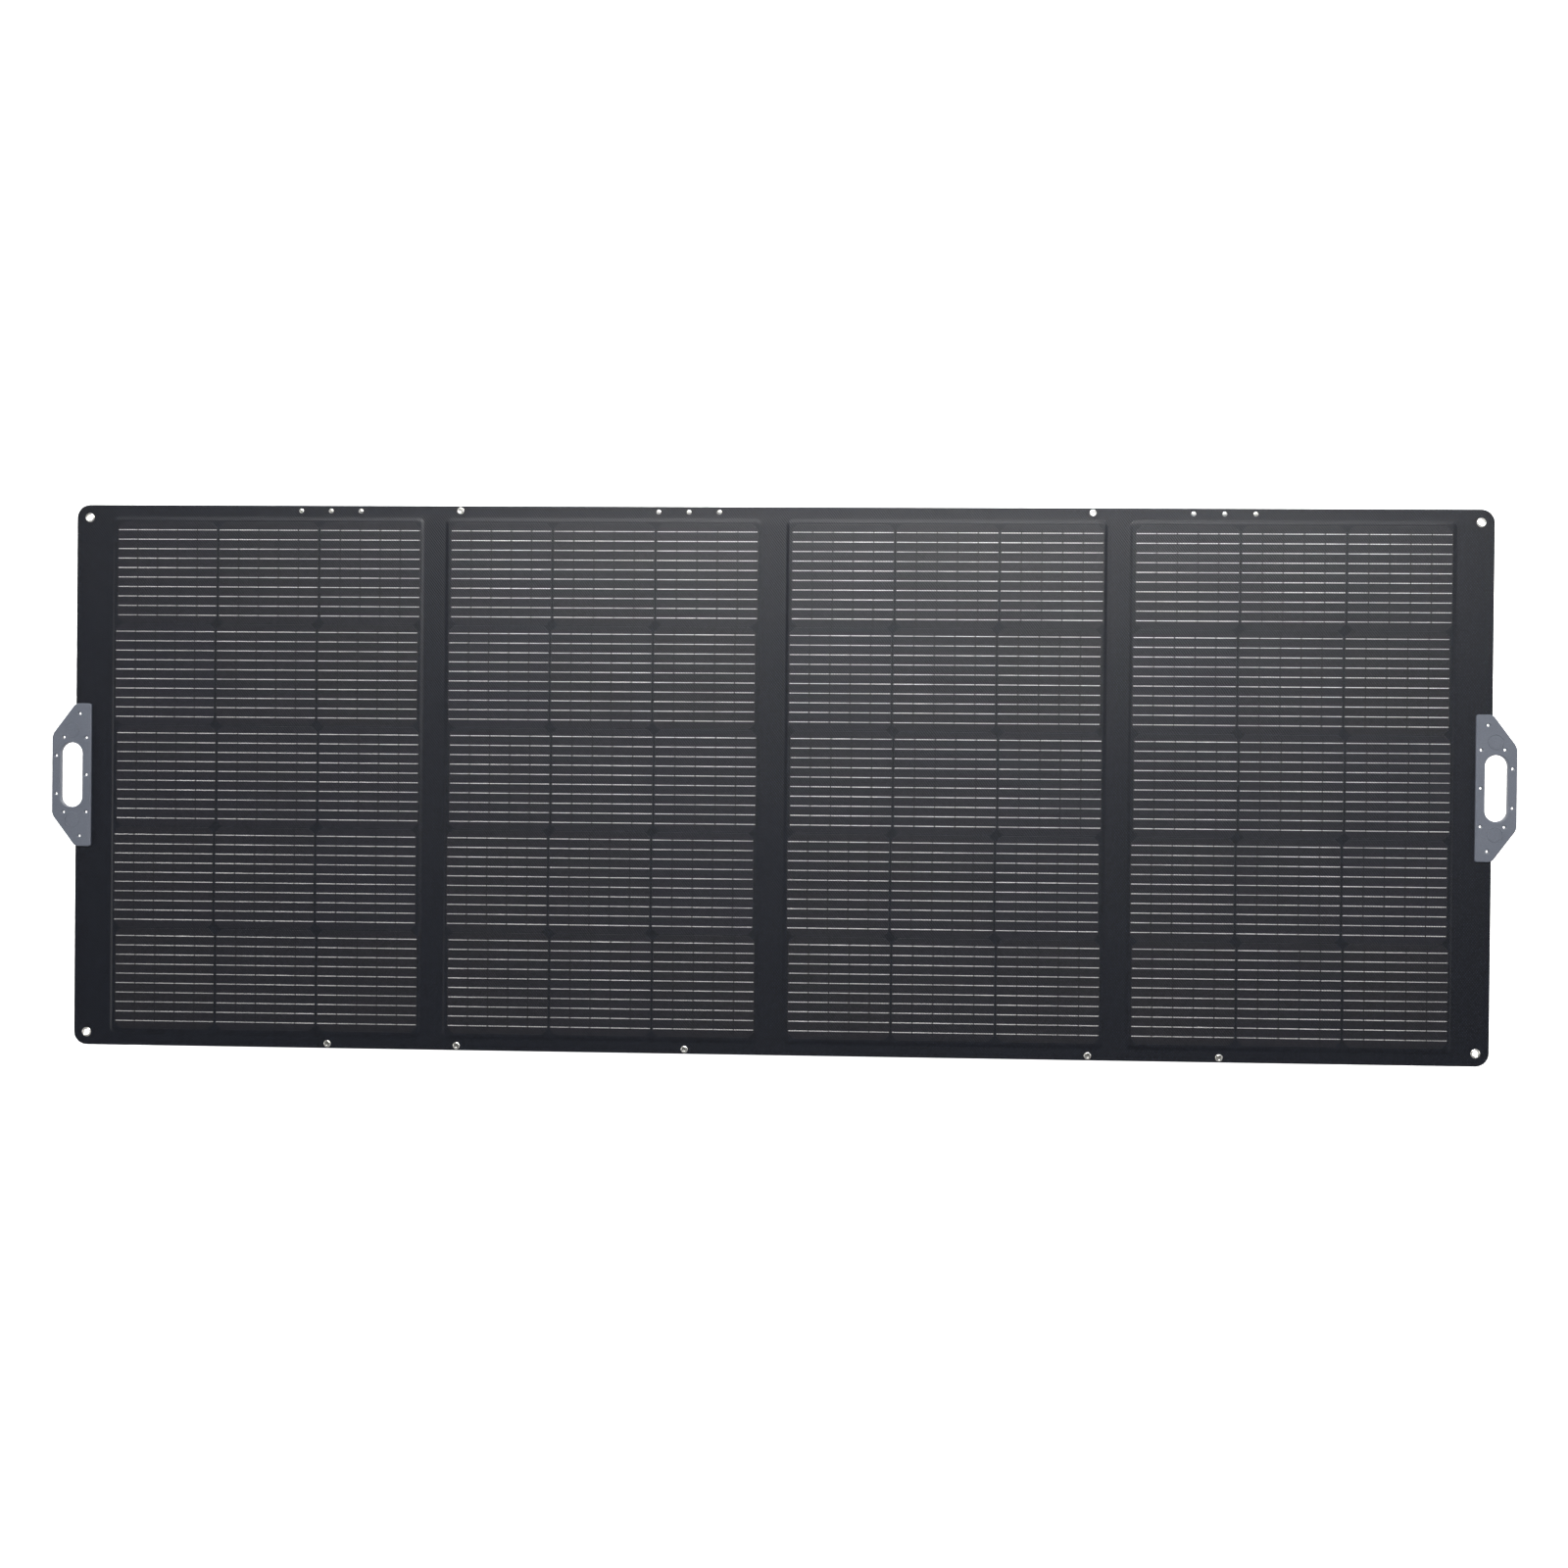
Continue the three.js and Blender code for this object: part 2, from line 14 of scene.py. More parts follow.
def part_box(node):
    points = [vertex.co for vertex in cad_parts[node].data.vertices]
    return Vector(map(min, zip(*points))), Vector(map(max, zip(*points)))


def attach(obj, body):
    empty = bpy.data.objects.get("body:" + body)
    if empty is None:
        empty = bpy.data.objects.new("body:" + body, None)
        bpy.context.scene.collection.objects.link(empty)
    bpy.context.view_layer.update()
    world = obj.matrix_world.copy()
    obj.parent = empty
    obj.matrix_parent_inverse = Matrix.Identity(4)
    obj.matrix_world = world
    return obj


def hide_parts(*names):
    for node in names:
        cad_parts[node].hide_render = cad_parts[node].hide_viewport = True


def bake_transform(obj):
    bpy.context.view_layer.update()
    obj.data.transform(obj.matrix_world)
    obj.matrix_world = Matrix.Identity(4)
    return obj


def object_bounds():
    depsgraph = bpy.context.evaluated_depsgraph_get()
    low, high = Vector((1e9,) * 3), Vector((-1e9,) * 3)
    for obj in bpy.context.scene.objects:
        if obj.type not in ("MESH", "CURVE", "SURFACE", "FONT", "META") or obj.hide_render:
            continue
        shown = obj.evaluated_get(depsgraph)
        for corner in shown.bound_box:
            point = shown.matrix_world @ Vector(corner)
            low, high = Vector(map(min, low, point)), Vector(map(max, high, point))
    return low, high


bl_info = {
    "name": "Folding Solar Blanket",
    "version": (1, 0, 0),
    "blender": (4, 5, 0),
    "location": "View3D > Sidebar > Solar Blanket",
    "description": "Builds a folding solar blanket around its packed frame",
    "category": "Add Mesh",
}

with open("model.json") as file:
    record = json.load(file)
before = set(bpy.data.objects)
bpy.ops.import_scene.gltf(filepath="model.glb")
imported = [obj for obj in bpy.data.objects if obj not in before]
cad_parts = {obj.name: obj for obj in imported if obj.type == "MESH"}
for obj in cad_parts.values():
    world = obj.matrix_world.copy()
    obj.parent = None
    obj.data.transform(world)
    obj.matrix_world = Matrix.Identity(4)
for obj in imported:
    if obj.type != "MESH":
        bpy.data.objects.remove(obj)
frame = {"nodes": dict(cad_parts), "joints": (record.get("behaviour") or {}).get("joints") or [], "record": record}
CAD_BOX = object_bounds()

MM = 0.001
LEAVES = ("leaf_1", "leaf_2", "leaf_3", "leaf_4")
FOLDS = (
    ("fold_1", "leaf_1", "leaf_2"),
    ("fold_2", "leaf_2", "leaf_3"),
    ("fold_3", "leaf_3", "leaf_4"),
)
SIDES = (("left", -1, "leaf_1"), ("right", 1, "leaf_4"))
ENDS = (("bottom", -1), ("top", 1))
KICKSTANDS = ("1", "2", "4")

# The skin, read from the frame: two covers, the raised modules and the fold lines between leaves.
SKIN = 0.8 * MM
FRONT_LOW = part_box("leaf_1_front_cover")[0].z
FRONT_FACE = FRONT_LOW + SKIN
MODULE_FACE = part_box("leaf_1_front_cover")[1].z
BACK_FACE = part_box("leaf_1_back_cover")[0].z
BODY_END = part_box("leaf_4_front_cover")[1].x
HALF_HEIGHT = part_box("leaf_1_front_cover")[1].y
BODY_CORNER = 24 * MM
FOLD_X = {joint["name"]: joint["pos_m"][0] for joint in frame["joints"] if "fold" in joint["name"]}
STRIP_REACH = 15 * MM
MODULE_SIZE = (562.5 * MM, 930 * MM)
MODULE_CORNER = 8 * MM
SHOULDER_SPREAD = 5 * MM

# Wafers: square with cut corners, ten busbar wires each, in staggered rows.
WAFER = 182 * MM
WAFER_CUT = 7.35 * MM
WAFER_RISE = 0.25 * MM
COLUMN_PITCH = 185.6 * MM
ROW_PITCH = 184 * MM
ROW_SHIFT = 1.7 * MM
COLUMNS = 3
ROWS = 5
WIRES = 10
WIRE_PITCH = 17.15 * MM
WIRE_PIECES = 5

# Handle plates, in millimetres, measured in from their outer edge.
HANDLE_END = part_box("handle_right_front_shell")[1].x
HANDLE_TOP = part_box("handle_right_front_shell")[1].z
HANDLE_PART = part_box("handle_right_front_shell")[0].z
HANDLE_OUTLINE = (
    (0, -72.4, 20), (43, -129.8, 12), (72.2, -129.8, 4.3),
    (72.2, 129.8, 4.3), (43, 129.8, 12), (0, 72.4, 20),
)
HANDLE_SLOT = (15.6, 55.9, 58.5)
HANDLE_HOLES = (
    (51, 111), (51, -111), (21.5, 68), (21.5, -68), (63, 67.5),
    (63, -67.5), (7.8, 34.7), (7.8, -34.7), (63, 0),
)
HANDLE_HOLE_RADIUS = 2.3 * MM
HANDLE_MAGNET = (37.5, 81.5, 14)
SLOT_WALL = 2.7 * MM
SLOT_ROUNDING = 0.97
NOTCH_CORNER = 12 * MM
COUNTERBORE_RADIUS = 5.2 * MM
HANDLE_SEAM = 0.15 * MM
# The wall between a counterbore and the slot is under 2 mm, so the back's edges stay small.
BACK_SHELL_EDGE = 0.6 * MM

# Holes in both covers, under the handles' holes and round the eyelets' barrels.
SKIN_HOLE_RADIUS = 3.4 * MM
EYELET_SKIN_HOLE = 5.4 * MM

# How far a new piece may stand out of the CAD model's box.
PROUD = 5 * MM

# How deep a wafer or a wire is sunk into what carries it.
SUNK = 0.1 * MM

# A face whose normal stands this straight is a flat one.
LEVEL = 0.9999

# Stitches, shared by the back covers and the kickstand legs.
STITCH_SIZE = (3.3 * MM, 0.75 * MM, 0.5 * MM)
STITCH_PITCH = 4.4 * MM
HEM_MARGIN = 5 * MM
MODULE_SEAM_MARGIN = 8 * MM

# The floor lies under the lowest pose: a leg swung out of the back.
FLOOR_SIZE = 60.0
FLOOR_LEVEL = -0.90

# Name, place, target, size and power of each softbox.
LAMPS = (
    ("sheen_softbox", (0.3, 2.5, 4.2), (0.1, 0.2, 0.0), (3.6, 1.1), 490.0),
    ("left_softbox", (-7.0, -0.5, 1.8), (0.0, 0.0, 0.0), (2.5, 2.0), 110.0),
    ("right_softbox", (7.0, 0.5, 1.8), (0.0, 0.0, 0.0), (2.5, 2.0), 110.0),
)

# The camera's yaw, pitch and roll in degrees, its place before that turn, and its lens.
CAMERA_TURN = (-3.03, 0.44, -0.54)
CAMERA_PLACE = (0.0215, -0.0045, 3.998)
LENS = 51.35


# -------- settings


class BLANKET_PG_sizes(bpy.types.PropertyGroup):
    emboss_across: FloatProperty(
        name="Emboss pitch across", description="Distance between dimples along a row",
        default=4.5 * MM, min=1 * MM, max=20 * MM, unit="LENGTH", precision=4)
    emboss_up: FloatProperty(
        name="Emboss pitch up", description="Height of one repeat of two staggered dimple rows",
        default=6.1 * MM, min=1 * MM, max=20 * MM, unit="LENGTH", precision=4)
    emboss_depth: FloatProperty(
        name="Emboss depth", description="Depth of the dimples pressed into the film",
        default=0.27 * MM, min=0.0, max=2 * MM, unit="LENGTH", precision=4)
    wire_width: FloatProperty(
        name="Busbar width", description="Width of one busbar wire under the film",
        default=1.6 * MM, min=0.2 * MM, max=4 * MM, unit="LENGTH", precision=4)
    wire_height: FloatProperty(
        name="Busbar height", description="How far a busbar wire lifts the film",
        default=0.15 * MM, min=0.05 * MM, max=1 * MM, unit="LENGTH", precision=5)
    wire_break: FloatProperty(
        name="Busbar break", description="Gap between the solder pads of one busbar",
        default=1.8 * MM, min=0.1 * MM, max=6 * MM, unit="LENGTH", precision=4)
    handle_edge: FloatProperty(
        name="Handle edge", description="Radius of the rounded edges of a handle plate",
        default=1.8 * MM, min=0.2 * MM, max=2 * MM, unit="LENGTH", precision=4)
    round_steps: IntProperty(
        name="Round steps", description="Segments round a small turned part",
        default=48, min=12, max=128)


class BLANKET_PG_colours(bpy.types.PropertyGroup):
    skin: FloatVectorProperty(
        name="Skin", description="Film over fabric, round and between the modules",
        subtype="COLOR", size=3, min=0, max=1, default=(0.0010, 0.0012, 0.0018))
    wafer: FloatVectorProperty(
        name="Wafer", description="Solar cell seen through the film",
        subtype="COLOR", size=3, min=0, max=1, default=(0.0045, 0.0045, 0.0056))
    wire: FloatVectorProperty(
        name="Busbar", description="Tinned busbar wire seen through the film",
        subtype="COLOR", size=3, min=0, max=1, default=(0.52, 0.51, 0.505))
    handle: FloatVectorProperty(
        name="Handle", description="Moulded handle plastic",
        subtype="COLOR", size=3, min=0, max=1, default=(0.067, 0.075, 0.095))
    fabric: FloatVectorProperty(
        name="Back fabric", description="Woven polyester on the back",
        subtype="COLOR", size=3, min=0, max=1, default=(0.018, 0.019, 0.022))
    nickel: FloatVectorProperty(
        name="Nickel", description="Plating of the eyelets, rivets and studs",
        subtype="COLOR", size=3, min=0, max=1, default=(0.70, 0.69, 0.66))


# -------- material helpers


def add_node(tree, kind, inputs=None, **settings):
    """A shader node with its settings made and its sockets set or linked."""
    made = tree.nodes.new(kind)
    for key, value in settings.items():
        setattr(made, key, value)
    for socket, value in (inputs or {}).items():
        if isinstance(value, bpy.types.NodeSocket):
            tree.links.new(value, made.inputs[socket])
        else:
            made.inputs[socket].default_value = value
    return made


def calc(tree, operation, first, second=0.0, third=0.0):
    inputs = {0: first, 1: second, 2: third}
    return add_node(tree, "ShaderNodeMath", inputs, operation=operation).outputs[0]


def colour(values):
    return (*values, 1.0)


def blend_colour(tree, factor, first, second):
    mixer = add_node(tree, "ShaderNodeMix", {0: factor, 6: first, 7: second}, data_type="RGBA")
    return mixer.outputs[2]


def shade(base, *shares):
    """A colour with each part multiplied by its own share, or all three by the same one."""
    shares = shares if len(shares) == 3 else 3 * shares
    return colour([part * share for part, share in zip(base, shares)])


def mottle(tree, value, low, high, most, tone, other):
    """Blends a second colour in where a value is high, up to most of it."""
    return blend_colour(tree, map_range(tree, value, low, high, 0.0, most), tone, other)


def noise(tree, scale, detail=2.0, roughness=0.5):
    inputs = {"Vector": object_coords(tree), "Scale": scale, "Detail": detail, "Roughness": roughness}
    return add_node(tree, "ShaderNodeTexNoise", inputs).outputs["Fac"]


def map_range(tree, value, low, high, to_low, to_high):
    inputs = {0: value, 1: low, 2: high, 3: to_low, 4: to_high}
    return add_node(tree, "ShaderNodeMapRange", inputs).outputs[0]


def bump(tree, height, distance, strength=1.0, below=None):
    inputs = {"Height": height, "Distance": distance, "Strength": strength}
    if below is not None:
        inputs["Normal"] = below
    return add_node(tree, "ShaderNodeBump", inputs).outputs["Normal"]


def object_coords(tree):
    return add_node(tree, "ShaderNodeTexCoord").outputs["Object"]


def start_material(name, **constants):
    """A material with a bare Principled shader, its constant sockets set by name."""
    material = bpy.data.materials.new(name)
    material.use_nodes = True
    tree = material.node_tree
    tree.nodes.clear()
    shader = add_node(tree, "ShaderNodeBsdfPrincipled")
    for socket, value in constants.items():
        shader.inputs[socket.replace("_", " ")].default_value = value
    output = add_node(tree, "ShaderNodeOutputMaterial")
    tree.links.new(shader.outputs[0], output.inputs[0])
    return material, tree, shader


def join_inputs(tree, shader, **sockets):
    for name, socket in sockets.items():
        tree.links.new(socket, shader.inputs[name.replace("_", " ")])


def emboss_height(tree):
    """Staggered rows of dimples, 0 in the grooves and 1 on the crowns, slightly uneven."""
    sizes = bpy.context.scene.blanket_sizes
    coords = object_coords(tree)
    wander = add_node(tree, "ShaderNodeTexNoise", {"Vector": coords, "Scale": 55.0, "Detail": 2.0})
    steps = (("SUBTRACT", {1: (0.5, 0.5, 0.5)}), ("SCALE", {"Scale": 2.2 * MM}), ("ADD", {1: coords}))
    moved = wander.outputs["Color"]
    for operation, inputs in steps:
        moved = add_node(tree, "ShaderNodeVectorMath", {0: moved, **inputs}, operation=operation).outputs[0]
    axes = add_node(tree, "ShaderNodeSeparateXYZ", {0: moved})
    across = calc(tree, "COSINE", calc(tree, "MULTIPLY", axes.outputs["X"], math.tau / sizes.emboss_across))
    up = calc(tree, "COSINE", calc(tree, "MULTIPLY", axes.outputs["Y"], math.tau / sizes.emboss_up))
    wave = calc(tree, "MULTIPLY", across, up)
    return map_range(tree, wave, -0.75, 0.85, 0.0, 1.0)


def film_normal(tree, height):
    """The emboss on top of the slow waves that a laminated sheet has."""
    waves = bump(tree, noise(tree, 7.0), 1.2 * MM, 0.5)
    return bump(tree, height, bpy.context.scene.blanket_sizes.emboss_depth, 1.0, waves)


# -------- materials


def start_film(name, specular, base, crown_highlight):
    """Film with embossed dimples: dark in the grooves as painted shade, and painted paler on the crowns as painted
    highlights, more so on some.
    """
    material, tree, shader = start_material(name, Specular_IOR_Level=specular)
    height = emboss_height(tree)
    uneven = map_range(tree, noise(tree, 240.0), 0.35, 0.65, 0.25, 1.0)
    raised = map_range(tree, height, 0.50, 0.90, 0.0, 1.0)
    # Painted highlights: the colour is many times paler on the emboss crowns, unevenly, and stays dark in the
    # grooves as painted shade.
    tone = blend_colour(tree, calc(tree, "MULTIPLY", raised, uneven), colour(base), shade(base, crown_highlight))
    join_inputs(tree, shader, Roughness=map_range(tree, height, 0.0, 1.0, 0.46, 0.27),
                Normal=film_normal(tree, height))
    return material, tree, shader, tone


def skin_material():
    """Embossed film over dark fabric, with faint bluish patches."""
    base = bpy.context.scene.blanket_colours.skin
    # The skin's emboss crowns are painted up to 22 times paler than its base, as painted highlights.
    material, tree, shader, tone = start_film("skin_film", 0.22, base, 22.0)
    tone = mottle(tree, noise(tree, 3.0), 0.3, 0.7, 0.3, tone, colour((0.003, 0.004, 0.008)))
    join_inputs(tree, shader, Base_Color=tone)
    return material


def wafer_material():
    """A dark wafer under the same film, with faint scored lines between its strips."""
    base = bpy.context.scene.blanket_colours.wafer
    # The wafer's emboss crowns are painted up to 5.5 times paler than its base, as painted highlights.
    material, tree, shader, tone = start_film("wafer_under_film", 0.24, base, 5.5)
    plane = add_node(tree, "ShaderNodeUVMap", uv_map="wafer").outputs[0]
    axes = add_node(tree, "ShaderNodeSeparateXYZ", {0: plane})
    strips = calc(tree, "FRACT", calc(tree, "MULTIPLY", axes.outputs["X"], float(WIRE_PIECES)))
    from_middle = calc(tree, "ABSOLUTE", calc(tree, "SUBTRACT", strips, 0.5))
    number = add_node(tree, "ShaderNodeUVMap", uv_map="piece").outputs[0]
    chance = add_node(tree, "ShaderNodeTexWhiteNoise", {"Vector": number}).outputs["Value"]
    cloud = noise(tree, 18.0, 3.0)
    tone = mottle(tree, chance, 0.0, 1.0, 0.35, tone, colour((0.0075, 0.008, 0.015)))
    tone = mottle(tree, cloud, 0.35, 0.7, 0.35, tone, colour((0.006, 0.007, 0.010)))
    tone = mottle(tree, from_middle, 0.484, 0.492, 0.7, tone, colour((0.004, 0.004, 0.005)))
    join_inputs(tree, shader, Base_Color=tone)
    return material


def wire_material():
    """Tinned wire under the film: painted bright on the emboss crowns as painted highlights, and painted dull
    between them as painted shade.
    """
    wire = colour(bpy.context.scene.blanket_colours.wire)
    material, tree, shader = start_material("busbar_wire", Metallic=0.35, Specular_IOR_Level=0.5)
    height = emboss_height(tree)
    patch = map_range(tree, noise(tree, 9.0, 3.0), 0.3, 0.7, 0.35, 1.0)
    # Painted highlights: the wire's colour is paler on the emboss crowns and falls towards dark grey between them,
    # as painted shade.
    bright = calc(tree, "MULTIPLY", map_range(tree, height, 0.15, 0.8, 0.35, 1.0), patch)
    tone = blend_colour(tree, bright, colour((0.10, 0.10, 0.105)), wire)
    join_inputs(tree, shader, Base_Color=tone, Roughness=map_range(tree, height, 0.0, 1.0, 0.5, 0.3),
                Normal=film_normal(tree, height))
    return material


def weave_height(tree, pitch):
    """Over-and-under of a plain weave, from two crossed sets of yarns."""
    axes = add_node(tree, "ShaderNodeSeparateXYZ", {0: object_coords(tree)})
    turns = math.pi / pitch
    warp = calc(tree, "MULTIPLY", axes.outputs["X"], turns)
    weft = calc(tree, "MULTIPLY", axes.outputs["Y"], turns)
    over = calc(tree, "MULTIPLY", calc(tree, "SINE", warp), calc(tree, "SINE", weft))
    side = calc(tree, "GREATER_THAN", over, 0.0)
    warp_yarn = calc(tree, "ABSOLUTE", calc(tree, "SINE", warp))
    weft_yarn = calc(tree, "ABSOLUTE", calc(tree, "SINE", weft))
    first = calc(tree, "MULTIPLY", side, warp_yarn)
    second = calc(tree, "MULTIPLY", calc(tree, "SUBTRACT", 1.0, side), weft_yarn)
    return calc(tree, "ADD", first, second)


def fabric_material(name, base, pitch=1.1 * MM, wear=0.2):
    """Woven polyester: a fine weave with its yarn tops painted paler as painted highlights, slightly faded where
    it rubs.
    """
    material, tree, shader = start_material(
        name, Specular_IOR_Level=0.35, Sheen_Weight=0.25, Sheen_Roughness=0.5)
    height = weave_height(tree, pitch)
    # Painted highlights: the yarns are painted paler where they stand highest in the weave.
    tone = mottle(tree, height, 0.0, 1.0, 0.6, colour(base), shade(base, 2.4))
    tone = mottle(tree, noise(tree, 6.0, 4.0), 0.45, 0.75, wear, tone, shade(base, 4.0))
    waves = bump(tree, noise(tree, 12.0, 2.0), 1.5 * MM, 0.5)
    rough = map_range(tree, height, 0.0, 1.0, 0.95, 0.75)
    join_inputs(tree, shader, Base_Color=tone, Roughness=rough,
                Normal=bump(tree, height, 0.25 * MM, 0.8, waves))
    return material


def plastic_material(name, base):
    """Moulded plastic with a fine spark-eroded grain and a few handling marks."""
    material, tree, shader = start_material(name, Specular_IOR_Level=0.45)
    grains = noise(tree, 620.0, 3.0, 0.7)
    cloud = noise(tree, 25.0, 3.0)
    tone = mottle(tree, cloud, 0.3, 0.7, 0.22, colour(base), shade(base, 1.25, 1.25, 1.22))
    tone = mottle(tree, grains, 0.35, 0.65, 0.5, tone, shade(base, 0.55))
    rough = map_range(tree, cloud, 0.3, 0.7, 0.48, 0.6)
    join_inputs(tree, shader, Base_Color=tone, Roughness=rough,
                Normal=bump(tree, grains, 0.10 * MM, 0.7))
    return material


def metal_material(name, base, roughness):
    """Plated metal: bright, with hair-fine marks and a little tarnish."""
    material, tree, shader = start_material(name, Metallic=1.0)
    tarnish = noise(tree, 220.0, 3.0)
    marks = noise(tree, 1600.0)
    tone = mottle(tree, tarnish, 0.4, 0.75, 0.35, colour(base), shade(base, 0.72, 0.68, 0.62))
    rough = map_range(tree, marks, 0.3, 0.7, roughness * 0.8, roughness * 1.3)
    join_inputs(tree, shader, Base_Color=tone, Roughness=rough, Normal=bump(tree, marks, 0.02 * MM, 0.5))
    return material


def lacquer_material():
    """Dark lacquered steel of the kickstand hinges, chipped to bare metal in places."""
    material, tree, shader = start_material("hinge_lacquer", Specular_IOR_Level=0.5)
    chips = map_range(tree, noise(tree, 180.0, 5.0, 0.7), 0.66, 0.70, 0.0, 1.0)
    grain = noise(tree, 900.0, 2.0)
    tone = blend_colour(tree, chips, colour((0.020, 0.021, 0.024)), colour((0.35, 0.34, 0.33)))
    join_inputs(tree, shader, Base_Color=tone, Metallic=calc(tree, "MULTIPLY", chips, 0.9),
                Roughness=map_range(tree, grain, 0.3, 0.7, 0.32, 0.5),
                Normal=bump(tree, grain, 0.04 * MM, 0.6))
    return material


def board_material():
    """Bare glass-fibre board: pale resin with a coarse cloth in it."""
    material, tree, shader = start_material("glass_fibre", Roughness=0.55, Specular_IOR_Level=0.4)
    height = weave_height(tree, 2.2 * MM)
    tone = blend_colour(tree, height, colour((0.26, 0.28, 0.17)), colour((0.42, 0.44, 0.31)))
    join_inputs(tree, shader, Base_Color=tone, Normal=bump(tree, height, 0.15 * MM, 0.6))
    return material


MATERIALS = {}


def finish_of(name):
    """A named finish, made the first time that it is asked for."""
    colours = bpy.context.scene.blanket_colours
    makers = {
        "skin": skin_material,
        "wafer": wafer_material,
        "wire": wire_material,
        "fabric": lambda: fabric_material("back_weave", tuple(colours.fabric)),
        "binding": lambda: fabric_material("binding_tape", (0.012, 0.012, 0.014), 0.7 * MM, 0.1),
        "thread": lambda: fabric_material("sewing_thread", (0.03, 0.031, 0.034), 0.35 * MM, 0.3),
        "handle": lambda: plastic_material("handle_plastic", tuple(colours.handle)),
        "box": lambda: plastic_material("box_plastic", (0.011, 0.011, 0.012)),
        "nickel": lambda: metal_material("nickel_plate", tuple(colours.nickel), 0.26),
        "magnet": lambda: metal_material("magnet_plate", (0.55, 0.55, 0.56), 0.35),
        "lacquer": lacquer_material,
        "board": board_material,
    }
    if name not in MATERIALS:
        MATERIALS[name] = makers[name]()
    return MATERIALS[name]


# -------- mesh helpers


def add_outline(bm, corners, steps=10, height=0.0):
    """A closed loop of edges through [x, y, radius] corners, rounded by vertex bevels."""
    known = set(bm.faces)
    verts = [bm.verts.new((x, y, height)) for x, y, _radius in corners]
    bm.faces.new(verts)
    for vert, (_x, _y, radius) in zip(verts, corners):
        if radius <= 0:
            continue
        before, after = [edge.other_vert(vert).co - vert.co for edge in vert.link_edges]
        reach = radius / math.tan(before.angle(after) / 2)
        bmesh.ops.bevel(bm, geom=[vert], offset=reach, offset_type="OFFSET", segments=steps,
                        profile=0.5, affect="VERTICES", material=-1)
    filled = next(face for face in bm.faces if face not in known)
    edges = list(filled.edges)
    bmesh.ops.delete(bm, geom=[filled], context="FACES_ONLY")
    return edges


def add_hole(bm, x, y, radius, segments=24, height=0.0):
    place = Matrix.Translation((x, y, height))
    made = bmesh.ops.create_circle(bm, cap_ends=False, segments=segments, radius=radius, matrix=place)
    return list({edge for vert in made["verts"] for edge in vert.link_edges})


def box_corners(left, right, low, high, radius, upper_radius=None):
    upper = radius if upper_radius is None else upper_radius
    return [(left, low, radius), (right, low, radius), (right, high, upper), (left, high, upper)]


def moved_corners(corners, inset):
    """The same outline moved sideways into the plate, its rounded corners kept concentric."""
    points = [Vector(corner[:2]) for corner in corners]
    area = sum(a.cross(b) for a, b in zip(points, points[1:] + points[:1]))
    inset *= math.copysign(1.0, area)
    moved = []
    for number, (x, y, radius) in enumerate(corners):
        into = (points[number] - points[number - 1]).normalized()
        out = (points[(number + 1) % len(points)] - points[number]).normalized()
        sides = Vector((-into.y - out.y, into.x + out.x))
        shift = sides * inset / (1 + into.dot(out))
        smaller = radius - inset * math.copysign(1.0, into.cross(out))
        moved.append((x + shift.x, y + shift.y, max(0.05 * MM, smaller) if radius > 0 else 0.0))
    return moved


def only(items, kind):
    return [item for item in items if isinstance(item, kind)]


def face_up(faces):
    for face in faces:
        if face.normal.z < 0:
            face.normal_flip()
    return faces


def fill_loops(bm, edges):
    """Fills everything between the outer loop and the loops inside it, facing up."""
    made = bmesh.ops.triangle_fill(bm, use_beauty=True, use_dissolve=False,
                                   edges=edges, normal=(0.0, 0.0, 1.0))
    return face_up(only(made["geom"], BMFace))


def quarter_round(radius, steps):
    """(inset, rise) steps that turn a square rim into a quarter round."""
    turns = [math.pi / 2 * k / steps for k in range(steps + 1)]
    return [(radius * (math.cos(a) - math.cos(b)), radius * (math.sin(b) - math.sin(a)))
            for a, b in zip(turns, turns[1:])]


def raise_rim(bm, faces, steps):
    """Insets and lifts one face, step by step."""
    for inset, rise in steps:
        bmesh.ops.inset_region(bm, faces=faces, thickness=inset, depth=rise,
                               use_boundary=True, use_even_offset=True)


def rim_levels(bottom, top, edge, steps=4):
    """(inset, height) of a plate's rings: a straight wall, then a rounded rim."""
    levels = [(0.0, bottom), (0.0, top - edge)]
    for inset, rise in quarter_round(edge, steps):
        levels.append((levels[-1][0] + inset, levels[-1][1] + rise))
    return levels


def make_plate(outline, levels, holes=(), inner=(), steps=10):
    """A closed plate with an outline, round holes and inner outlines, and its upper faces.

    Each rim is a stack of matched rings, one at each level, bridged from one to the next."""
    bm = bmesh.new()
    stacks = [[add_outline(bm, moved_corners(outline, inset), steps, height) for inset, height in levels]]
    for corners in inner:
        stacks.append([add_outline(bm, moved_corners(corners, -inset), steps, height)
                       for inset, height in levels])
    for x, y, radius in holes:
        stacks.append([add_hole(bm, x, y, radius + inset, 24, height) for inset, height in levels])
    for stack in stacks:
        for lower, upper in zip(stack, stack[1:]):
            bmesh.ops.bridge_loops(bm, edges=lower + upper)
    fill_loops(bm, [edge for stack in stacks for edge in stack[0]])
    upper = fill_loops(bm, [edge for stack in stacks for edge in stack[-1]])
    bmesh.ops.recalc_face_normals(bm, faces=bm.faces[:])
    return bm, upper


def turn_over(bm, middle):
    """Mirrors a mesh top to bottom about the height middle, faces kept pointing out."""
    for vert in bm.verts:
        vert.co.z = 2 * middle - vert.co.z
    bmesh.ops.reverse_faces(bm, faces=bm.faces[:])


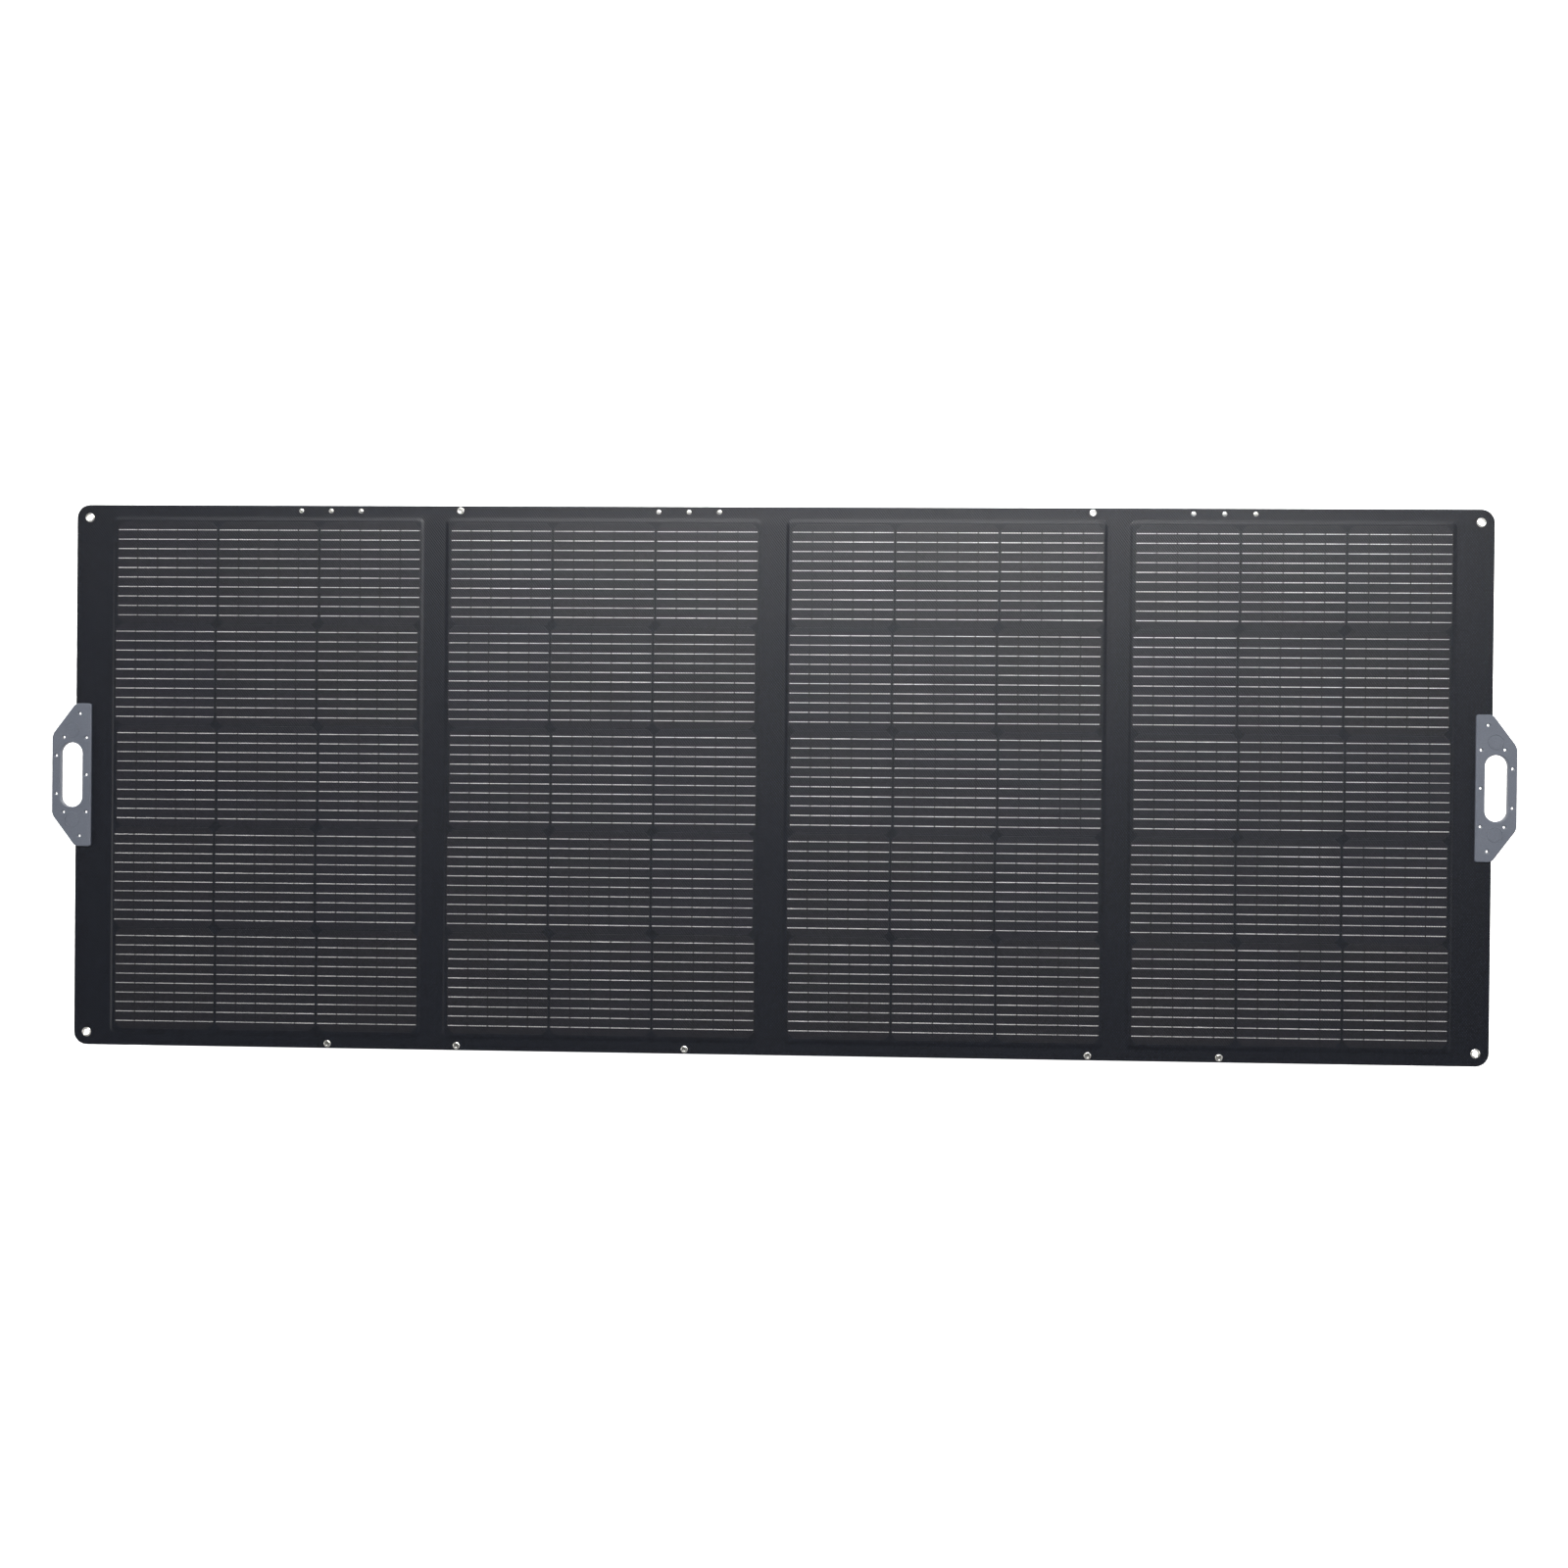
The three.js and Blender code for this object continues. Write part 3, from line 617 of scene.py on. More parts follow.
def make_turned(profile, place, steps, turn=Matrix.Identity(3)):
    """Spins a profile of (radius, height) points, in millimetres, about Z, turns it and places it."""
    bm = bmesh.new()
    verts = [bm.verts.new((radius * MM, 0.0, height * MM)) for radius, height in profile]
    edges = [bm.edges.new(pair) for pair in zip(verts, verts[1:])]
    bmesh.ops.spin(bm, geom=verts + edges, cent=(0, 0, 0), axis=(0, 0, 1), dvec=(0, 0, 0),
                   angle=math.tau, steps=steps, use_merge=True, use_duplicate=False)
    bmesh.ops.remove_doubles(bm, verts=bm.verts[:], dist=0.001 * MM)
    bmesh.ops.recalc_face_normals(bm, faces=bm.faces[:])
    bmesh.ops.rotate(bm, verts=bm.verts[:], cent=(0, 0, 0), matrix=turn)
    bmesh.ops.translate(bm, verts=bm.verts[:], vec=place)
    return bm


def add_block(bm, low, high):
    """A box between two corners, added to what the mesh holds."""
    low, high = Vector(low), Vector(high)
    place = Matrix.Translation((low + high) / 2) @ Matrix.Diagonal((*(high - low), 1.0))
    bmesh.ops.create_cube(bm, size=1.0, matrix=place)


def add_rod(bm, start, end, radius, segments):
    """A closed round bar from start to end, added to what the mesh holds."""
    start, end = Vector(start), Vector(end)
    along = (end - start).to_track_quat("Z", "Y").to_matrix().to_4x4()
    place = Matrix.Translation((start + end) / 2) @ along
    bmesh.ops.create_cone(bm, cap_ends=True, cap_tris=False, segments=segments, radius1=radius,
                          radius2=radius, depth=(end - start).length, matrix=place)


def store_mesh(name, bm):
    mesh = bpy.data.meshes.new(name)
    bm.to_mesh(mesh)
    bm.free()
    return mesh


def repeat(bm, count, step):
    """Repeats all that the mesh holds in a row of count, each a step further on."""
    first = bm.verts[:] + bm.edges[:] + bm.faces[:]
    for number in range(1, count):
        made = bmesh.ops.duplicate(bm, geom=first)["geom"]
        bmesh.ops.translate(bm, verts=only(made, BMVert), vec=Vector(step) * number)


def stamp(bm, pattern, place):
    """Adds a copy of a pattern mesh at a place."""
    pattern.transform(place)
    bm.from_mesh(pattern)
    pattern.transform(place.inverted())


def pour(bm, other):
    """Adds all that another mesh in the making holds, and uses it up."""
    part = store_mesh("part", other)
    bm.from_mesh(part)
    bpy.data.meshes.remove(part)


def stitch_row(bm, start, end, z):
    """A row of stitches from one point to another, half sunk in the cloth at height z."""
    run = Vector(end) - Vector(start)
    count = max(2, int(run.length / STITCH_PITCH))
    row = bmesh.new()
    size = Matrix.Diagonal((*(part / 2 for part in STITCH_SIZE), 1.0))
    bmesh.ops.create_uvsphere(row, u_segments=6, v_segments=4, radius=1.0, matrix=size)
    repeat(row, count, (run.length / count, 0, 0))
    turn = Matrix.Rotation(math.atan2(run.y, run.x), 4, "Z")
    first = Matrix.Translation((run.length / count / 2, 0, 0))
    row.transform(Matrix.Translation((start[0], start[1], z)) @ turn @ first)
    pour(bm, row)


def stitch_loop(bm, corners, z):
    for start, end in zip(corners, corners[1:] + corners[:1]):
        stitch_row(bm, start[:2], end[:2], z)


def make_piece(name, bm, finish, body=None, stands_for=(), crease=math.radians(32), bends=False):
    """Makes a mesh a piece on its body: flat where level, else smooth but for its creases."""
    low, high = CAD_BOX
    for vert in bm.verts:
        if any(vert.co[k] < low[k] - PROUD or vert.co[k] > high[k] + PROUD for k in range(3)):
            raise RuntimeError(f"{name} stands out of the CAD model's box at {vert.co}")
    for face in bm.faces:
        face.smooth = bends or abs(face.normal.z) < LEVEL
    for edge in bm.edges:
        if len(edge.link_faces) == 2 and edge.calc_face_angle() > crease:
            edge.smooth = False
    mesh = store_mesh(name, bm)
    piece = bpy.data.objects.new(name, mesh)
    bpy.context.scene.collection.objects.link(piece)
    for one in (finish,) if isinstance(finish, str) else finish:
        mesh.materials.append(finish_of(one))
    if body:
        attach(piece, body)
    if stands_for:
        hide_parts(*stands_for)
    return piece


def dress_node(node, finish):
    """Gives a CAD node a detailed finish in place of its plain colour."""
    for slot in frame["nodes"][node].material_slots:
        slot.material = finish_of(finish)


def centre_of(node):
    low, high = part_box(node)
    return (low + high) / 2


def leaf_span(leaf):
    """The leaf's own skin between its fold strips: left and right edges, and each corner's radius."""
    low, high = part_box(f"{leaf}_front_cover")
    outer_left = leaf == LEAVES[0]
    outer_right = leaf == LEAVES[-1]
    left = low.x if outer_left else nearest_fold(low.x) + STRIP_REACH
    right = high.x if outer_right else nearest_fold(high.x) - STRIP_REACH
    return left, right, BODY_CORNER * outer_left, BODY_CORNER * outer_right


def nearest_fold(x):
    return min(FOLD_X.values(), key=lambda fold: abs(fold - x))


def leaf_corners(leaf):
    left, right, left_round, right_round = leaf_span(leaf)
    return [(left, -HALF_HEIGHT, left_round), (right, -HALF_HEIGHT, right_round),
            (right, HALF_HEIGHT, right_round), (left, HALF_HEIGHT, left_round)]


def stretch_sheet(piece, leaf):
    """Reads where a leaf's skin ends at its fold strips, and does nothing more with it."""
    left, right, _first, _last = leaf_span(leaf)


def module_corners(leaf, margin, radius=0.0):
    """The outline of a leaf's module, made larger by a margin."""
    centre = centre_of(f"{leaf}_board").x
    half_width, half_height = (part / 2 + margin for part in MODULE_SIZE)
    return box_corners(centre - half_width, centre + half_width, -half_height, half_height, radius)


def skin_holes(leaf):
    """(x, y, radius) of the eyelets' and the handle's holes in both covers of a leaf."""
    holes = []
    for side, sign, holder in SIDES:
        if holder != leaf:
            continue
        for end, _direction in ENDS:
            spot = centre_of(f"eyelet_{side}_{end}")
            holes.append((spot.x, spot.y, EYELET_SKIN_HOLE))
        for inset, y in HANDLE_HOLES:
            x = HANDLE_END - inset * MM
            if x < BODY_END - HANDLE_HOLE_RADIUS:
                holes.append((sign * x, y * MM, SKIN_HOLE_RADIUS))
    return holes


def notched_corners(leaf):
    """The leaf's outline with the finger slot's notch taken out of its outer edge."""
    corners = leaf_corners(leaf)
    if leaf not in (LEAVES[0], LEAVES[-1]):
        return corners
    side = -1 if leaf == LEAVES[0] else 1
    slot_x = side * (HANDLE_END - HANDLE_SLOT[1] * MM - SLOT_WALL)
    slot_y = side * (HANDLE_SLOT[2] * MM + SLOT_WALL)
    notch = [(side * BODY_END, -slot_y, 0), (slot_x, -slot_y, NOTCH_CORNER),
             (slot_x, slot_y, NOTCH_CORNER), (side * BODY_END, slot_y, 0)]
    before = 4 if leaf == LEAVES[0] else 2
    return corners[:before] + notch + corners[before:]


# -------- operators


class BLANKET_OT_stage(bpy.types.Operator):
    """Pale floor, soft lights and the camera"""
    bl_idname = "blanket.stage"
    bl_label = "Stage"

    def make_floor(self):
        """A white floor that glows faintly, as a light table does, and is clear from underneath."""
        bm = bmesh.new()
        bmesh.ops.create_grid(bm, x_segments=1, y_segments=1, size=FLOOR_SIZE / 2,
                              matrix=Matrix.Translation((0.0, 0.0, FLOOR_LEVEL)))
        mesh = store_mesh("floor", bm)
        floor = bpy.data.objects.new("floor", mesh)
        bpy.context.scene.collection.objects.link(floor)
        material, tree, shader = start_material(
            "pale_floor", Roughness=0.9, Specular_IOR_Level=0.1, Emission_Color=colour((1.0, 1.0, 1.0)),
            Emission_Strength=0.85)
        tone = blend_colour(tree, noise(tree, 2.0), colour((0.84, 0.84, 0.84)),
                            colour((0.88, 0.88, 0.88)))
        join_inputs(tree, shader, Base_Color=tone)
        behind = add_node(tree, "ShaderNodeNewGeometry").outputs["Backfacing"]
        clear = add_node(tree, "ShaderNodeBsdfTransparent").outputs[0]
        both = add_node(tree, "ShaderNodeMixShader", {0: behind, 1: shader.outputs[0], 2: clear})
        output = next(node for node in tree.nodes if node.type == "OUTPUT_MATERIAL")
        tree.links.new(both.outputs[0], output.inputs[0])
        mesh.materials.append(material)

    def make_world(self):
        """A light tent: white round the sides and dim overhead."""
        world = bpy.data.worlds.new("studio")
        world.use_nodes = True
        tree = world.node_tree
        up = add_node(tree, "ShaderNodeSeparateXYZ",
                      {0: add_node(tree, "ShaderNodeTexCoord").outputs["Generated"]}).outputs["Z"]
        glow = map_range(tree, up, 0.30, 0.85, 1.0, 0.05)
        tree.links.new(glow, tree.nodes["Background"].inputs["Strength"])
        tree.nodes["Background"].inputs["Color"].default_value = (1.0, 1.0, 1.0, 1.0)
        bpy.context.scene.world = world

    def add_light(self, name, place, target, size, power):
        lamp = bpy.data.lights.new(name, "AREA")
        lamp.shape = "RECTANGLE"
        lamp.size, lamp.size_y = size
        lamp.energy = power
        light = bpy.data.objects.new(name, lamp)
        bpy.context.scene.collection.objects.link(light)
        light.location = place
        light.rotation_euler = (Vector(target) - Vector(place)).to_track_quat("-Z", "Y").to_euler()

    def make_camera(self):
        """Four metres in front of the blanket, a little off square."""
        yaw, pitch, roll = (math.radians(angle) for angle in CAMERA_TURN)
        turn = Matrix.Rotation(roll, 4, "Z") @ Matrix.Rotation(pitch, 4, "X") @ Matrix.Rotation(yaw, 4, "Y")
        lens = bpy.data.cameras.new("camera")
        lens.sensor_width = 36.0
        lens.lens = LENS
        lens.clip_end = 100.0
        camera = bpy.data.objects.new("camera", lens)
        bpy.context.scene.collection.objects.link(camera)
        face = Matrix.Translation((0.0, 0.0, FRONT_FACE))
        camera.matrix_world = face @ turn.inverted() @ Matrix.Translation(CAMERA_PLACE)
        bpy.context.scene.camera = camera

    def execute(self, context):
        self.make_world()
        context.scene.view_settings.view_transform = "Standard"
        self.make_floor()
        for lamp in LAMPS:
            self.add_light(*lamp)
        self.make_camera()
        return {"FINISHED"}


class BLANKET_OT_laminates(bpy.types.Operator):
    """Embossed front skin of each leaf, with its raised module"""
    bl_idname = "blanket.laminates"
    bl_label = "Front laminates"

    SHOULDER = ((0.9, 0.04), (1.1, 0.18), (1.1, 0.31), (1.1, 0.38), (1.1, 0.31), (1.1, 0.18), (0.9, 0.04))

    def execute(self, context):
        lift = (MODULE_FACE - FRONT_FACE) / sum(rise for _inset, rise in self.SHOULDER)
        for leaf in LEAVES:
            module = module_corners(leaf, SHOULDER_SPREAD, MODULE_CORNER + SHOULDER_SPREAD)
            bm = bmesh.new()
            raised = face_up(bmesh.ops.edgeloop_fill(bm, edges=add_outline(bm, module))["faces"])
            raise_rim(bm, raised, [(inset * MM, rise * lift) for inset, rise in self.SHOULDER])
            around = bmesh.new()
            add_outline(around, notched_corners(leaf))
            add_outline(around, module)
            for x, y, radius in skin_holes(leaf):
                add_hole(around, x, y, radius)
            fill_loops(around, around.edges[:])
            pour(bm, around)
            bmesh.ops.remove_doubles(bm, verts=bm.verts[:], dist=0.01 * MM)
            bmesh.ops.translate(bm, verts=bm.verts[:], vec=(0.0, 0.0, FRONT_FACE))
            bmesh.ops.solidify(bm, geom=bm.faces[:], thickness=SKIN)
            bmesh.ops.recalc_face_normals(bm, faces=bm.faces[:])
            stretch_sheet(make_piece(f"{leaf}_laminate", bm, "skin", leaf,
                                     (f"{leaf}_front_cover",)), leaf)
        return {"FINISHED"}


def wafer_places(leaf):
    """Column, row and centre of every wafer on a leaf."""
    centre = centre_of(f"{leaf}_board").x
    for row in range(ROWS):
        shift = -ROW_SHIFT if row % 2 else ROW_SHIFT
        y = (row - (ROWS - 1) / 2) * ROW_PITCH
        for column in range(COLUMNS):
            yield column, row, centre + shift + (column - (COLUMNS - 1) / 2) * COLUMN_PITCH, y


class BLANKET_OT_wafers(bpy.types.Operator):
    """Solar wafers, standing slightly proud under the film"""
    bl_idname = "blanket.wafers"
    bl_label = "Wafers"

    def make_pattern(self):
        """One wafer at the origin: a cut-cornered plate with a soft rim."""
        bm = bmesh.new()
        half = WAFER / 2
        bmesh.ops.create_grid(bm, x_segments=1, y_segments=1, size=half)
        bmesh.ops.bevel(bm, geom=bm.verts[:], offset=WAFER_CUT * math.sqrt(2), offset_type="OFFSET",
                        segments=1, profile=0.5, affect="VERTICES", material=-1)
        made = bmesh.ops.extrude_face_region(bm, geom=bm.faces[:], use_keep_orig=True)["geom"]
        bmesh.ops.translate(bm, verts=only(made, BMVert), vec=(0.0, 0.0, SUNK))
        raise_rim(bm, only(made, BMFace), quarter_round(WAFER_RISE, 2))
        bmesh.ops.translate(bm, verts=bm.verts[:], vec=(0.0, 0.0, MODULE_FACE - SUNK))
        bmesh.ops.recalc_face_normals(bm, faces=bm.faces[:])
        flat = bm.loops.layers.uv.new("wafer")
        bm.loops.layers.uv.new("piece")
        for face in bm.faces:
            for loop in face.loops:
                loop[flat].uv = (loop.vert.co.x / WAFER + 0.5, loop.vert.co.y / WAFER + 0.5)
        return store_mesh("wafer", bm)

    def execute(self, context):
        pattern = self.make_pattern()
        for leaf in LEAVES:
            bm = bmesh.new()
            for column, row, x, y in wafer_places(leaf):
                for loop in pattern.uv_layers["piece"].data:
                    loop.uv = (column + 0.5, row + 0.5)
                stamp(bm, pattern, Matrix.Translation((x, y, 0.0)))
            make_piece(f"{leaf}_wafers", bm, "wafer", leaf, (f"{leaf}_cells",))
        bpy.data.meshes.remove(pattern)
        return {"FINISHED"}


class BLANKET_OT_wires(bpy.types.Operator):
    """Busbar wires across every wafer"""
    bl_idname = "blanket.wires"
    bl_label = "Busbar wires"

    def make_pattern(self, sizes):
        """The wires of one wafer, each in separate lengths with domed tops."""
        length = WAFER / WIRE_PIECES
        half_width = sizes.wire_width / 2
        left = -WAFER / 2 + sizes.wire_break / 2
        low_y = -(WIRES - 1) / 2 * WIRE_PITCH
        face = MODULE_FACE + WAFER_RISE
        outline = box_corners(left, left + length - sizes.wire_break, low_y - half_width,
                              low_y + half_width, 0.4 * sizes.wire_width)
        bm, _upper = make_plate(outline, rim_levels(face - SUNK, face + sizes.wire_height,
                                                    0.6 * sizes.wire_height, 2), steps=2)
        repeat(bm, WIRE_PIECES, (length, 0, 0))
        repeat(bm, WIRES, (0, WIRE_PITCH, 0))
        return store_mesh("wires", bm)

    def execute(self, context):
        pattern = self.make_pattern(context.scene.blanket_sizes)
        for leaf in LEAVES:
            bm = bmesh.new()
            for _column, _row, x, y in wafer_places(leaf):
                stamp(bm, pattern, Matrix.Translation((x, y, 0.0)))
            make_piece(f"{leaf}_busbars", bm, "wire", leaf)
        bpy.data.meshes.remove(pattern)
        return {"FINISHED"}


class BLANKET_OT_strips(bpy.types.Operator):
    """Fabric strips across the folds, front and back, finely divided and smooth shaded"""
    bl_idname = "blanket.strips"
    bl_label = "Fold strips"

    CELLS_ACROSS = 30
    CELLS_UP = 98

    def execute(self, context):
        for fold, first, second in FOLDS:
            x = FOLD_X[fold]
            for name, low, finish, slot in (("front", FRONT_LOW, "skin", "front_laminate"),
                                            ("back", BACK_FACE, "fabric", "back_fabric")):
                bm = bmesh.new()
                stretch = Matrix.Translation((x, 0, low + SKIN)) @ Matrix.Diagonal(
                    (2 * STRIP_REACH, 2 * HALF_HEIGHT, 1.0, 1.0))
                bmesh.ops.create_grid(bm, x_segments=self.CELLS_ACROSS,
                                      y_segments=self.CELLS_UP, size=0.5, matrix=stretch)
                made = bmesh.ops.extrude_face_region(bm, geom=bm.faces[:], use_keep_orig=True)["geom"]
                bmesh.ops.translate(bm, verts=only(made, BMVert), vec=(0, 0, -SKIN))
                bmesh.ops.recalc_face_normals(bm, faces=bm.faces[:])
                strip = make_piece(f"{fold}_{name}_strip", bm, finish, bends=True)
                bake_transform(strip)
        return {"FINISHED"}


class BLANKET_OT_backs(bpy.types.Operator):
    """Woven back cover of each leaf, with its stitched seams"""
    bl_idname = "blanket.backs"
    bl_label = "Back covers"

    def add_hems(self, seams, leaf):
        """Stitch lines along the leaf's top and bottom, in from its outer edge, out to its strips."""
        left, right, left_round, right_round = leaf_span(leaf)
        left += HEM_MARGIN if left_round else 0.0
        right -= HEM_MARGIN if right_round else 0.0
        for y in (HEM_MARGIN - HALF_HEIGHT, HALF_HEIGHT - HEM_MARGIN):
            stitch_row(seams, (left, y), (right, y), BACK_FACE)

    def execute(self, context):
        for leaf in LEAVES:
            bm, _upper = make_plate(notched_corners(leaf), rim_levels(0.0, SKIN, 0.25 * MM, 2),
                                    skin_holes(leaf))
            turn_over(bm, SKIN / 2)
            bmesh.ops.translate(bm, verts=bm.verts[:], vec=(0, 0, BACK_FACE))
            stretch_sheet(make_piece(f"{leaf}_back", bm, "fabric", leaf,
                                     (f"{leaf}_back_cover",)), leaf)
            seams = bmesh.new()
            stitch_loop(seams, module_corners(leaf, MODULE_SEAM_MARGIN), BACK_FACE)
            self.add_hems(seams, leaf)
            make_piece(f"{leaf}_back_seams", seams, "thread", leaf)
        return {"FINISHED"}


class BLANKET_OT_handles(bpy.types.Operator):
    """Slotted handle plates with rounded edges and magnet marks"""
    bl_idname = "blanket.handles"
    bl_label = "Handles"

    CORNER_STEPS = 14

    def make_shell(self, sign, levels, hole_radius):
        """A shell with its finger slot and through holes, between two heights."""
        outline = [(sign * (HANDLE_END - inset * MM), y * MM, radius * MM)
                   for inset, y, radius in HANDLE_OUTLINE]
        near, far, reach = (value * MM for value in HANDLE_SLOT)
        left, right = sorted((sign * (HANDLE_END - near), sign * (HANDLE_END - far)))
        slot = box_corners(left, right, -reach, reach, (right - left) / 2 * SLOT_ROUNDING)
        holes = [(sign * (HANDLE_END - inset * MM), y * MM, hole_radius) for inset, y in HANDLE_HOLES]
        return make_plate(outline, levels, holes, (slot,), self.CORNER_STEPS)[0]

    def execute(self, context):
        sizes = context.scene.blanket_sizes
        for side, sign, body in SIDES:
            for shell, bottom, top, hole, edge in (
                    ("front", HANDLE_PART, HANDLE_TOP, HANDLE_HOLE_RADIUS, sizes.handle_edge),
                    ("back", 0.0, HANDLE_PART - HANDLE_SEAM, COUNTERBORE_RADIUS, BACK_SHELL_EDGE)):
                bm = self.make_shell(sign, rim_levels(bottom, top, edge), hole)
                if shell == "back":
                    turn_over(bm, (bottom + top) / 2)
                make_piece(f"handle_{side}_{shell}", bm, "handle", body,
                           (f"handle_{side}_{shell}_shell",))
            for end, direction in ENDS:
                inset, y, radius = HANDLE_MAGNET
                profile = ((0, -0.3), (radius, -0.3), (radius, 0.1), (radius - 0.6, 0.6),
                           (radius - 1.3, 0.6), (radius - 2.0, 0.06), (radius - 2.5, 0.06),
                           (radius - 2.8, 0.2), (0, 0.2))
                place = (sign * (HANDLE_END - inset * MM), direction * y * MM, HANDLE_TOP)
                bm = make_turned(profile, place, sizes.round_steps * 2)
                make_piece(f"handle_{side}_magnet_mark_{end}", bm, "handle", body)
                dress_node(f"handle_{side}_magnet_{end}", "magnet")
        return {"FINISHED"}


class BLANKET_OT_metal(bpy.types.Operator):
    """Eyelets, rivets and press studs"""
    bl_idname = "blanket.metal"
    bl_label = "Eyelets, rivets and studs"

    # In millimetres: how far a cap sits off the skin, and a rivet's tail.
    SEAT = 0.3
    TAIL = 1.1

    def eyelet_profile(self, low, high):
        """A rolled front lip, the barrel and a flat washer behind."""
        return [(5.0, low - 0.9), (5.6, low - 1.1), (7.6, low - 1.0), (8.0, low - 0.6), (8.0, low),
                (5.6, low), (5.6, high), (7.9, high), (8.1, high + 0.35), (7.5, high + 0.95),
                (6.6, high + 1.15), (5.7, high + 0.95), (5.1, high + 0.3), (5.0, high - 0.6),
                (5.0, low - 0.9)]

    def rivet_profile(self, tail, cap):
        return [(0, tail - 1.1), (2.2, tail - 1.05), (2.9, tail - 0.7), (3.0, tail), (1.5, tail),
                (1.5, cap), (4.1, cap), (4.25, cap + 0.25), (4.0, cap + 0.65), (3.3, cap + 1.05),
                (2.2, cap + 1.3), (1.0, cap + 1.42), (0, cap + 1.45)]

    def stud_profile(self, socket, shelf, cap):
        return [(0, socket + 0.6), (2.0, socket + 0.6), (2.2, socket), (5.0, socket), (5.5, socket + 0.5),
                (5.5, shelf), (2.0, shelf), (2.0, cap), (6.1, cap), (6.3, cap + 0.3), (6.1, cap + 0.8),
                (5.5, cap + 1.25), (4.7, cap + 1.5), (4.0, cap + 1.55), (3.6, cap + 1.4),
                (3.0, cap + 1.25), (0, cap + 1.2)]

    def foot_profile(self, low, high):
        return [(0, low), (4.2, low + 0.05), (5.3, low + 0.5), (5.5, low + 1.1), (2.0, low + 1.1),
                (2.0, high - 0.75), (5.3, high - 0.75), (5.3, high), (0, high)]

    def execute(self, context):
        steps = context.scene.blanket_sizes.round_steps
        cap = FRONT_FACE / MM + self.SEAT
        shelf = BACK_FACE / MM - self.SEAT
        for body, members in frame["record"]["behaviour"]["bodies"].items():
            for node in members:
                low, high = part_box(node)
                if node.startswith("eyelet"):
                    profile = self.eyelet_profile(shelf, cap)
                elif node.startswith("rivet"):
                    profile = self.rivet_profile(low.z / MM + self.TAIL, cap)
                elif node.endswith("foot_stud"):
                    profile = self.foot_profile(low.z / MM, high.z / MM)
                elif "stud" in node:
                    profile = self.stud_profile(low.z / MM, shelf, cap)
                else:
                    continue
                spot = (low + high) / 2
                bm = make_turned(profile, (spot.x, spot.y, 0.0), steps)
                make_piece(f"{node}_turned", bm, "nickel", body, (node,), math.radians(50))
        return {"FINISHED"}


